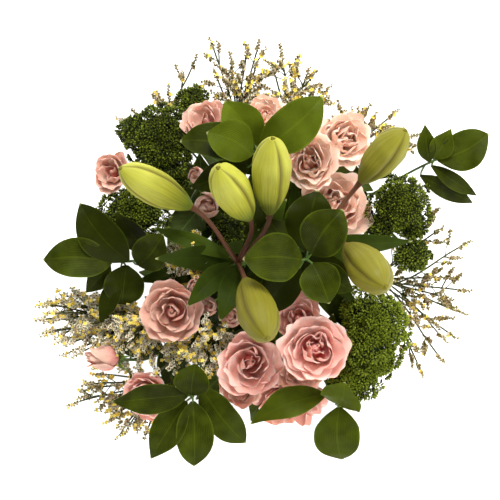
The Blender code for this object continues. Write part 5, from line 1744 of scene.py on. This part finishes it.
def paper_finish(settings):
    """Statice funnels: dry thin paper that light comes through, ochre where they are over."""
    return floret_finish(
        "statice_dry_paper",
        linear("#A08A64"),
        settings.calyx,
        [min(1.0, c * 1.15 + 0.05) for c in settings.calyx],
        0.70,
        faded=linear("#A88A40"),
        Subsurface_Weight=0.25,
        Subsurface_Radius=(0.6, 0.5, 0.4),
        Subsurface_Scale=0.002,
    )


def jute_finish(settings):
    """Jute twine: dry matt fibres laid along each twisted strand, dark where the strands meet."""
    made, tree, cloud, crest = begin_finish(
        "jute_twisted_fibre", ["layer"], patch=3.846, detail=5.0, Sheen_Weight=0.25, Sheen_Roughness=0.6
    )
    fibre = lines_along(tree, 30.0, 160.0, detail=4.0)
    value = put(tree, "Math", {0: crest, 1: 0.45, 2: fibre}, operation="MULTIPLY_ADD")
    value = put(tree, "Math", {0: cloud, 1: 0.4, 2: value}, operation="MULTIPLY_ADD")
    value = put(tree, "Math", {0: value, 1: 0.7}, operation="MULTIPLY")
    stops = ((0.30, settings.jute_dark), (0.62, settings.jute), (0.90, linear("#D9C296")))
    colour = put(tree, "ValToRGB", {0: value}, stops=stops)
    return close_finish(made, cloud, colour, (0.80, 0.96), fibre, strength=0.6, depth=0.3)


def floor_finish(settings):
    """Studio floor: plain matt board with the slightest mottle."""
    made, tree, cloud = begin_finish(
        "studio_floor_board", [], patch=33.3, detail=3.0, Specular_IOR_Level=0.2, Roughness=0.9
    )
    dull = [c * 0.985 for c in settings.floor]
    colour = put(tree, "ValToRGB", {0: cloud}, stops=((0.3, dull), (0.7, settings.floor)))
    return close_finish(made, cloud, colour, None, cloud, strength=0.05, depth=0.2)


# The studio, in metres

FLOOR_REACH = 60.0
FLOOR_GAP = 0.0005
CAMERA_X = -0.011
FLOWER_HEIGHT = 0.31
# The soft boxes aim at this height, and the light on the floor has a soft edge of these degrees
AIM_HEIGHT = 0.28
SOFT_EDGE = 7
SENSOR_WIDTH = 36.0
# The brightness of the surroundings, by how high they stand: pale walls and a dark ceiling
SURROUNDINGS = ((0.0, 0.90), (0.10, 0.74), (0.28, 0.26), (1.0, 0.16))
# Each soft box: place, width and power. The strongest stands beyond the top of the photograph.
SOFT_BOXES = {
    "soft_box_main": ((0.1, 2.0, 2.1), 1.4, 88.0),
    "soft_box_front": ((0.3, -2.2, 1.6), 1.5, 40.0),
    "soft_box_left": ((-2.3, 0.1, 1.3), 1.5, 8.0),
    "soft_box_right": ((2.1, 0.4, 1.9), 1.4, 50.0),
}


def studio(settings):
    """A pale floor, surroundings with a dark ceiling, soft boxes and the camera straight above."""
    mesh = bpy.data.meshes.new("studio_floor")
    corners = [(x * FLOOR_REACH, y * FLOOR_REACH, 0.0) for x, y in ((-1, -1), (1, -1), (1, 1), (-1, 1))]
    mesh.from_pydata(corners, [], [(0, 1, 2, 3)])
    mesh.materials.append(floor_finish(settings))
    floor = to_scene("studio_floor", mesh, (0.0, 0.0, -FLOOR_GAP))
    world = bpy.data.worlds.new("studio_sky")
    world.use_nodes = True
    tree = world.node_tree
    height = put(tree, "SeparateXYZ", {0: put(tree, "TexCoord")}, out=2)
    walls = put(tree, "ValToRGB", {0: height}, stops=SURROUNDINGS)
    tree.links.new(walls, tree.nodes["Background"].inputs["Color"])
    bpy.context.scene.world = world
    target = Vector((0.0, 0.0, AIM_HEIGHT))
    for name, (place, width, power) in SOFT_BOXES.items():
        light = bpy.data.lights.new(name, "AREA")
        light.shape = "DISK"
        light.size = width
        light.energy = power
        box = to_scene(name, light, place)
        box.rotation_euler = (target - Vector(place)).to_track_quat("-Z", "Y").to_euler()
    # A light straight down on the floor alone keeps it evenly white, and dark only under the bunch
    light = bpy.data.lights.new("floor_light", "SUN")
    light.energy = settings.floor_light
    light.angle = math.radians(SOFT_EDGE)
    only_floor = bpy.data.collections.new("only_the_floor")
    only_floor.objects.link(floor)
    to_scene("floor_light", light, (0.0, 0.0, 3.0)).light_linking.receiver_collection = only_floor
    lens = bpy.data.cameras.new("photo_camera")
    lens.sensor_width = SENSOR_WIDTH
    lens.lens = SENSOR_WIDTH * settings.distance / settings.field
    lens.clip_end = 200.0
    place = (CAMERA_X, 0.0, FLOWER_HEIGHT + settings.distance)
    bpy.context.scene.camera = to_scene("photo_camera", lens, place)
    bpy.context.scene.view_settings.view_transform = "Standard"


# Operators: one for each group of like pieces, and one for the studio


class BouquetStep:
    """What the operators share: they can be undone, and run without a dialogue."""

    bl_options = {"REGISTER", "UNDO"}


class BOUQUET_OT_lily_buds(BouquetStep, bpy.types.Operator):
    """Add the six shut lily buds"""

    bl_idname = "bouquet.lily_buds"
    bl_label = "Lily Buds"

    def execute(self, context):
        tepal = tepal_finish(context.scene.bouquet_lilies)
        for name in LILY_BUDS:
            lily_bud(name, tepal)
        return {"FINISHED"}


class BOUQUET_OT_lily_stems(BouquetStep, bpy.types.Operator):
    """Add the lily stems with their stalks and leaves"""

    bl_idname = "bouquet.lily_stems"
    bl_label = "Lily Stems"

    def execute(self, context):
        settings = context.scene.bouquet_lilies
        stem = stem_finish("lily_stem_skin", linear("#58742C"), linear("#2F4617"), settings.stalk)
        leaf = leaf_finish("lily_leaf_skin", settings.leaf, linear("#4C5E18"), 1.3, 0.36)
        for name in LILY_BRANCHES:
            lily_stem(name, [stem, cut_finish(), leaf])
        return {"FINISHED"}


class BOUQUET_OT_ruscus(BouquetStep, bpy.types.Operator):
    """Add the ruscus stalks with their broad leaves"""

    bl_idname = "bouquet.ruscus"
    bl_label = "Ruscus"

    def execute(self, context):
        settings = context.scene.bouquet_foliage
        stem = stem_finish("ruscus_stem_skin", linear("#486222"), linear("#2A3E12"), linear("#586C28"))
        spacing = settings.vein_spacing / MM
        leaf = leaf_finish("ruscus_leaf_skin", settings.ruscus, settings.ruscus_painted_light, spacing, 0.34)
        for name in RUSCUS_LEAVES:
            ruscus(name, [stem, cut_finish(), leaf])
        return {"FINISHED"}


class BOUQUET_OT_roses(BouquetStep, bpy.types.Operator):
    """Add the petals of the open roses"""

    bl_idname = "bouquet.roses"
    bl_label = "Roses"

    def execute(self, context):
        settings = context.scene.bouquet_roses
        petals = {
            "deep": petal_finish("rose_petal_deep_velvet", settings.heart, settings.rim),
            "pale": petal_finish("rose_petal_pale_velvet", settings.pale_heart, settings.pale_rim),
            "dusky": petal_finish("rose_petal_dusky_velvet", settings.dusky_heart, settings.dusky_rim),
        }
        for name in ROSES:
            rose(name, petals)
        for name in ROSE_BUDS:
            rose_bud(name, petals)
        return {"FINISHED"}


class BOUQUET_OT_rose_stems(BouquetStep, bpy.types.Operator):
    """Add the rose stems with their hips, sepals, thorns and leaves"""

    bl_idname = "bouquet.rose_stems"
    bl_label = "Rose Stems"

    def execute(self, context):
        settings = context.scene.bouquet_roses
        stem = stem_finish("rose_stem_skin", settings.stem, linear("#30461A"), linear("#7A4E32"))
        sepal = leaf_finish("rose_sepal_skin", linear("#47662A"), linear("#86A050"), 0.9, 0.55)
        leaf = rose_leaf_finish(settings)
        for name in ROSE_SPRAYS:
            rose_stem(name, [stem, cut_finish(), sepal, leaf])
        return {"FINISHED"}


class BOUQUET_OT_trachelium(BouquetStep, bpy.types.Operator):
    """Add the green heads of trachelium"""

    bl_idname = "bouquet.trachelium"
    bl_label = "Trachelium"

    def execute(self, context):
        settings = context.scene.bouquet_foliage
        green, painted_light = settings.trachelium, settings.trachelium_painted_light
        stem = stem_finish("trachelium_stem_skin", linear("#46601F"), linear("#2A3E12"), linear("#506A26"))
        # The florets are painted from deep shade at their foot to painted light at their tips
        dark = [c * 0.3 for c in green]
        buds = floret_finish("trachelium_bud_skin", dark, green, painted_light, 0.7, Specular_IOR_Level=0.2)
        # The core sheet is painted nearly black: painted shade inside the head
        inner = linear("#1C2806")
        core = stem_finish("trachelium_inner_stalks", inner, linear("#0E1503"), inner, 0.9)
        for name in TRACHELIUM:
            trachelium(name, [stem, cut_finish(), buds, core])
        return {"FINISHED"}


class BOUQUET_OT_statice(BouquetStep, bpy.types.Operator):
    """Add the sprays of statice"""

    bl_idname = "bouquet.statice"
    bl_label = "Statice"

    def execute(self, context):
        settings = context.scene.bouquet_statice
        stalk = stem_finish("statice_stalk_skin", settings.stalk, linear("#333C1E"), linear("#7A7440"))
        bract, yellow = settings.bract, settings.corolla
        dark = [c * 0.5 for c in bract]
        scales = floret_finish("statice_green_scales", dark, bract, linear("#A89A50"), 0.6)
        flowers = floret_finish("statice_yellow_flowers", linear("#C98F1E"), yellow, linear("#F4E27A"), 0.6)
        skins = [stalk, cut_finish(), scales, paper_finish(settings), flowers]
        for name in STATICE_SPIKES:
            statice(name, skins)
        return {"FINISHED"}


class BOUQUET_OT_tie(BouquetStep, bpy.types.Operator):
    """Add the twisted twine round the stems"""

    bl_idname = "bouquet.tie"
    bl_label = "Twine Tie"

    def execute(self, context):
        twine_tie(jute_finish(context.scene.bouquet_tie))
        return {"FINISHED"}


class BOUQUET_OT_studio(BouquetStep, bpy.types.Operator):
    """Add the floor, the soft light and the camera straight above"""

    bl_idname = "bouquet.studio"
    bl_label = "Studio"

    def execute(self, context):
        studio(context.scene.bouquet_stage)
        return {"FINISHED"}


OPERATORS = (
    BOUQUET_OT_lily_buds,
    BOUQUET_OT_lily_stems,
    BOUQUET_OT_ruscus,
    BOUQUET_OT_roses,
    BOUQUET_OT_rose_stems,
    BOUQUET_OT_trachelium,
    BOUQUET_OT_statice,
    BOUQUET_OT_tie,
    BOUQUET_OT_studio,
)


class BOUQUET_PT_pieces(bpy.types.Panel):
    """The settings and the pieces of the bouquet"""

    bl_idname = "BOUQUET_PT_pieces"
    bl_label = "Hand-Tied Bouquet"
    bl_space_type = "VIEW_3D"
    bl_region_type = "UI"
    bl_category = "Bouquet"

    def draw(self, context):
        layout = self.layout
        for name, kind in SETTINGS.items():
            box = layout.box()
            box.label(text=name.replace("bouquet_", "").title())
            for setting in kind.__annotations__:
                box.prop(getattr(context.scene, name), setting)
        for operator in OPERATORS:
            layout.operator(operator.bl_idname)


def register():
    for kind in (*SETTINGS.values(), *OPERATORS, BOUQUET_PT_pieces):
        bpy.utils.register_class(kind)
    for name, kind in SETTINGS.items():
        setattr(bpy.types.Scene, name, PointerProperty(type=kind))


def unregister():
    for name in SETTINGS:
        delattr(bpy.types.Scene, name)
    for kind in (BOUQUET_PT_pieces, *reversed(OPERATORS), *reversed(SETTINGS.values())):
        bpy.utils.unregister_class(kind)


def main():
    register()
    bpy.ops.bouquet.lily_buds()
    bpy.ops.bouquet.lily_stems()
    bpy.ops.bouquet.ruscus()
    bpy.ops.bouquet.roses()
    bpy.ops.bouquet.rose_stems()
    bpy.ops.bouquet.trachelium()
    bpy.ops.bouquet.statice()
    bpy.ops.bouquet.tie()
    bpy.ops.bouquet.studio()


if __name__ == "__main__":
    main()
